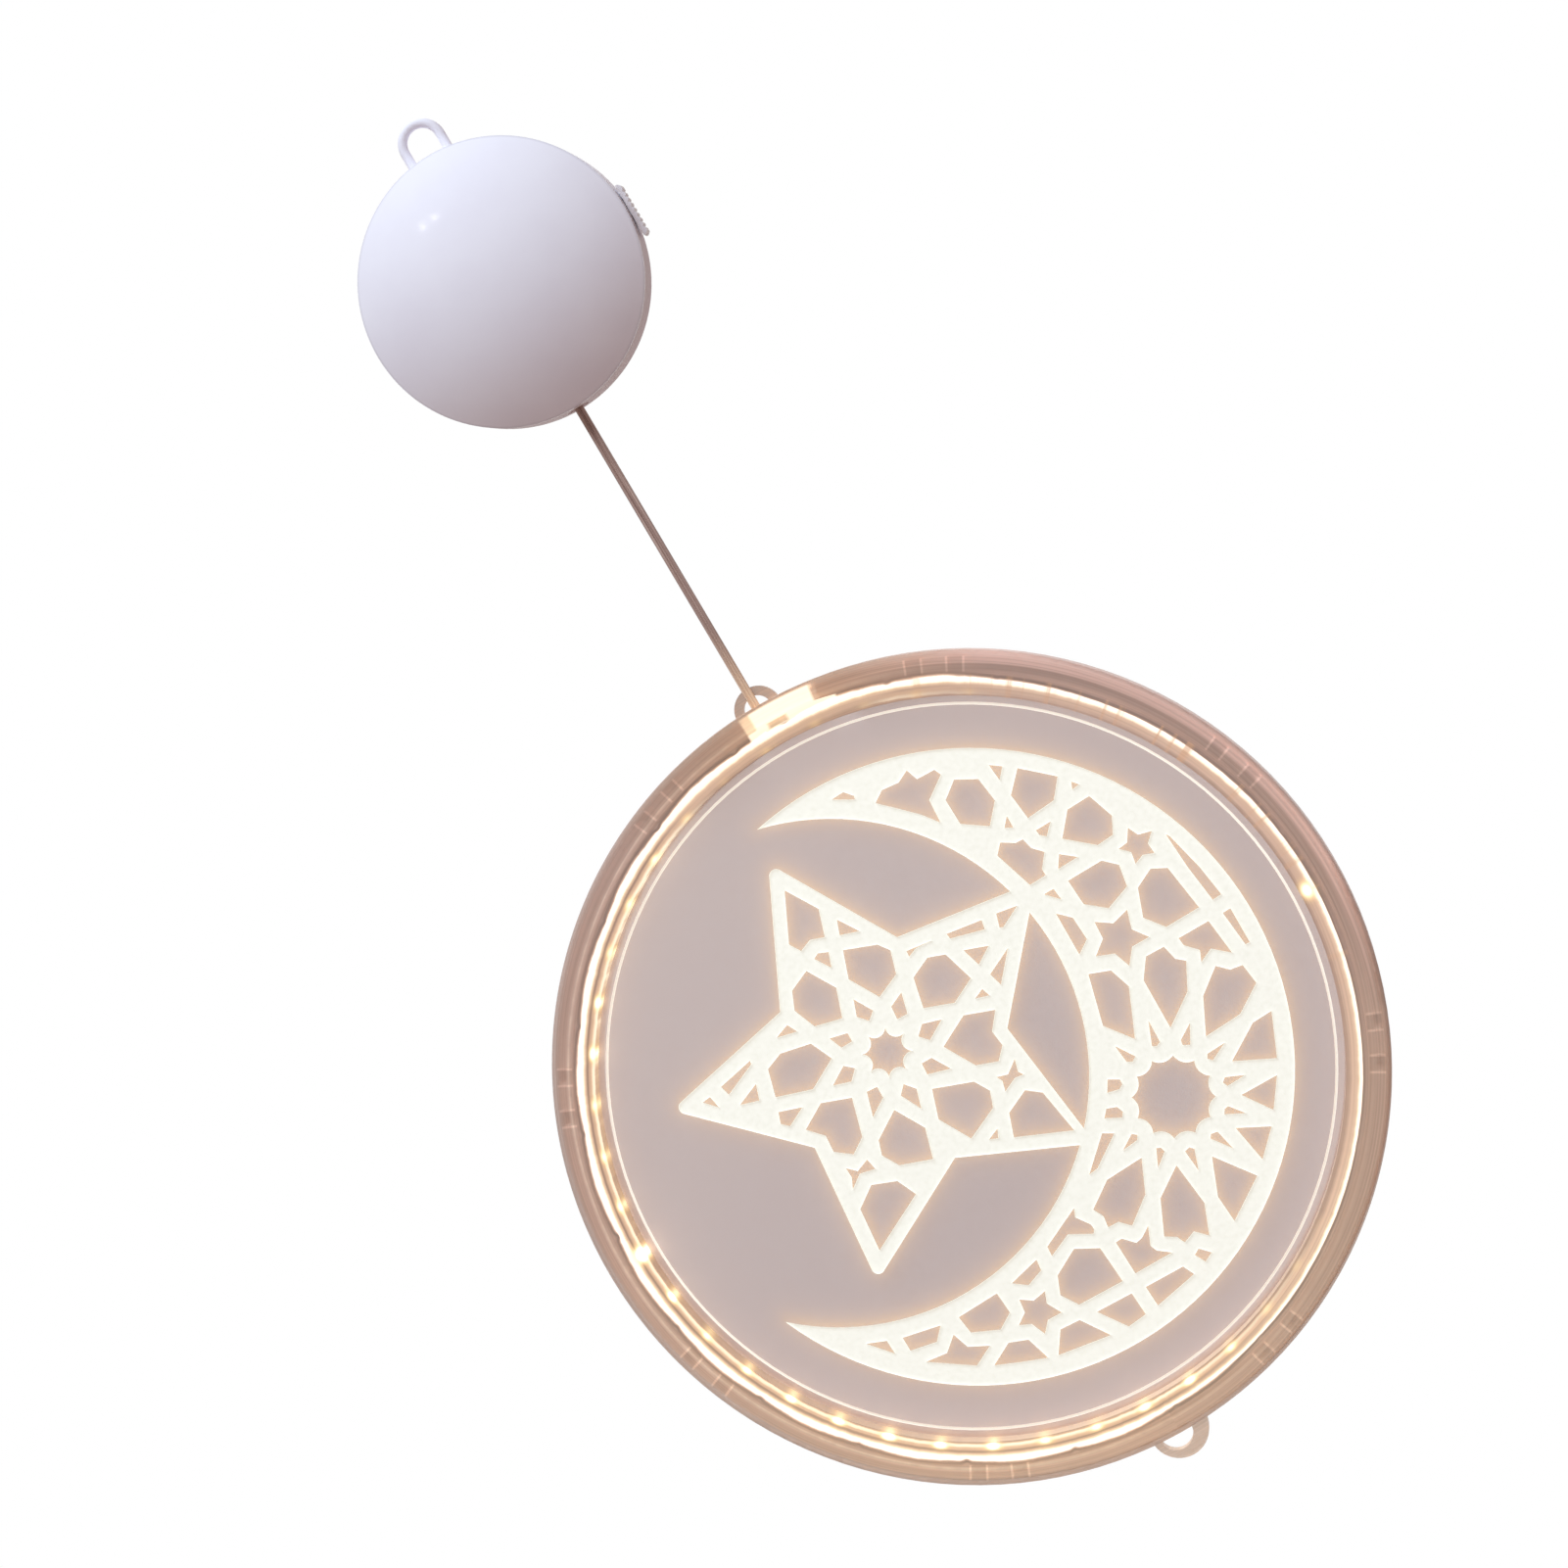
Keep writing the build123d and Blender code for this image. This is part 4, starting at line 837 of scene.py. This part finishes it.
engraving = {
    "face": -1.5,  # mm, front face of the panel
    "floor": -1.1,
    "cutFrom": (0.01, 0.05),  # mm behind the face, where the cut lines' light starts
    "reach": 79.6,  # mm, nothing is engraved beyond this radius
    "border": (76.0, 77.0),  # mm, the border line lies outside this radius
    "alpha": 0.62,
    "tones": ((217, 200, 195), (222, 206, 200)),  # clear panel against what is behind it
    "lit": ((194, 195, 186), (200, 201, 193)),  # cut lines
    "litBorder": (190, 180, 172),  # the border line is the dimmer one
}


def panelAcrylic():  # clear panel; the cut lines carry the light of its edge
    e = engraving
    material, tree, shader, place = newFinish("panelAcrylic", IOR=1.49, Roughness=0.1, Emission_Strength=1.0)
    radius = fromMiddle(tree, place, ringMid)[0]
    depth = part(tree, place, "Y")
    cut = spread(tree, depth, *[(e["face"] + behind) * mm for behind in e["cutFrom"]])
    cut = product(tree, cut, maths(tree, "LESS_THAN", depth, 0.0))
    cut = product(tree, cut, maths(tree, "LESS_THAN", radius, e["reach"] * mm))
    tone = twoTone(tree, grain(tree, place, 9.0, 2.0), e["tones"], (0.35, 0.65))
    white = twoTone(tree, grain(tree, place, 900.0, 2.0), e["lit"], (0.3, 0.6))
    border = spread(tree, radius, *[r * mm for r in e["border"]])
    carried = blendColours(tree, border, white, screen(*e["litBorder"]))
    feed(tree, shader, Base_Color=blendColours(tree, cut, tone, white))
    feed(tree, shader, Emission_Color=blendColours(tree, cut, (0, 0, 0, 1), carried))
    feed(tree, shader, Alpha=spread(tree, cut, 0.0, 1.0, e["alpha"], 1.0))
    return material


dress(panelAcrylic(), "engraved_panel")

panelGlow = {
    "radius": 0.0752,
    "rings": 107,
    "spokes": 660,
    "inset": 0.0001,  # inside the panel's rear face
    "fade": 0.0021,  # how far the light spills past the cut lines
    "fall": 1.2,  # how sharply it fades
    "look": 0.0015,  # how far round each point the lines are looked for
    "ways": 6,  # and in how many directions
    "touch": 0.0001,  # closer than this lies on a line
    "light": (0.8, 0.55),  # beside a line, and what lines all round add
    "alpha": 0.23,
    "tones": ((255, 208, 116), (255, 212, 126)),
}


def cutLines():  # floors of the cut lines, without the border line
    engraved = nodes["engraved_panel"].data
    faces = []
    for face in engraved.polygons:
        middle = face.center
        flat = Vector((middle.x - ringMid.x, 0, middle.z - ringMid.z)).length
        onFloor = abs(middle.y - engraving["floor"] * mm) < 0.05 * mm
        if onFloor and flat < panelGlow["radius"]:
            faces.append([tuple(engraved.vertices[i].co) for i in face.vertices])
    return faces


def glowSheet():  # fine round sheet inside the panel's rear face
    p = panelGlow
    middle = (ringMid.x, panelHigh.y - p["inset"], ringMid.z)
    clearSelection()
    bpy.ops.mesh.primitive_plane_add(size=p["radius"], location=middle)
    sheet = bpy.context.object
    sheet.name = "panelGlow"
    bpy.ops.object.mode_set(mode="EDIT")
    bpy.ops.mesh.merge(type="CENTER")  # one point at the middle, drawn out to a spoke
    bpy.ops.mesh.extrude_region_move(TRANSFORM_OT_translate={"value": (0, 0, p["radius"])})
    bpy.ops.mesh.select_all(action="SELECT")
    bpy.ops.mesh.subdivide(number_cuts=p["rings"] - 1)
    bpy.ops.mesh.select_all(action="SELECT")
    bpy.ops.mesh.spin(steps=p["spokes"], angle=2 * math.pi, center=middle, axis=(0, 1, 0))
    weld(sheet, 0.002 * mm)
    bpy.ops.object.transform_apply(location=True, rotation=True, scale=True)
    return sheet


def spillValues(sheet, lines):  # how much light spills to each point of the sheet
    p = panelGlow
    corners = [place for face in lines for place in face]
    tree = BVHTree.FromPolygons(corners, [tuple(range(3 * i, 3 * i + 3)) for i in range(len(lines))])
    turns = [2 * math.pi * i / p["ways"] for i in range(p["ways"])]
    steps = [Vector((p["look"] * math.cos(a), 0, p["look"] * math.sin(a))) for a in turns]
    beside, between = p["light"]
    values = []
    for v in sheet.data.vertices:
        spot = Vector((v.co.x, engraving["floor"] * mm, v.co.z))
        near = math.exp(-((tree.find_nearest(spot)[3] / p["fade"]) ** p["fall"]))
        closed = 0.0
        if near > 0.2:  # share of the way round that lies on a line
            closed = sum(tree.find_nearest(spot + step)[3] < p["touch"] for step in steps) / len(steps)
        values.append(near * (beside + between * closed))
    return values


def spillGlow():
    material, tree, shader, place = newFinish("spillGlow", Roughness=0.6, Emission_Strength=1.15)
    shine = put(tree, "Attribute", attribute_name="shine").outputs["Fac"]
    spill = twoTone(tree, grain(tree, place, 40.0), panelGlow["tones"])
    feed(tree, shader, Base_Color=spill, Emission_Color=spill, Alpha=product(tree, shine, panelGlow["alpha"]))
    return material


def makePanelGlow():  # light that spills round the cut lines, inside the panel
    lines = cutLines()
    sheet = glowSheet()
    shine = sheet.data.attributes.new("shine", "FLOAT", "POINT")
    shine.data.foreach_set("value", spillValues(sheet, lines))
    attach(sheet, "lamp")
    sheet.data.materials.append(spillGlow())
    print("panel glow:", len(lines), "engraved faces,", len(sheet.data.polygons), "glow faces")


makePanelGlow()
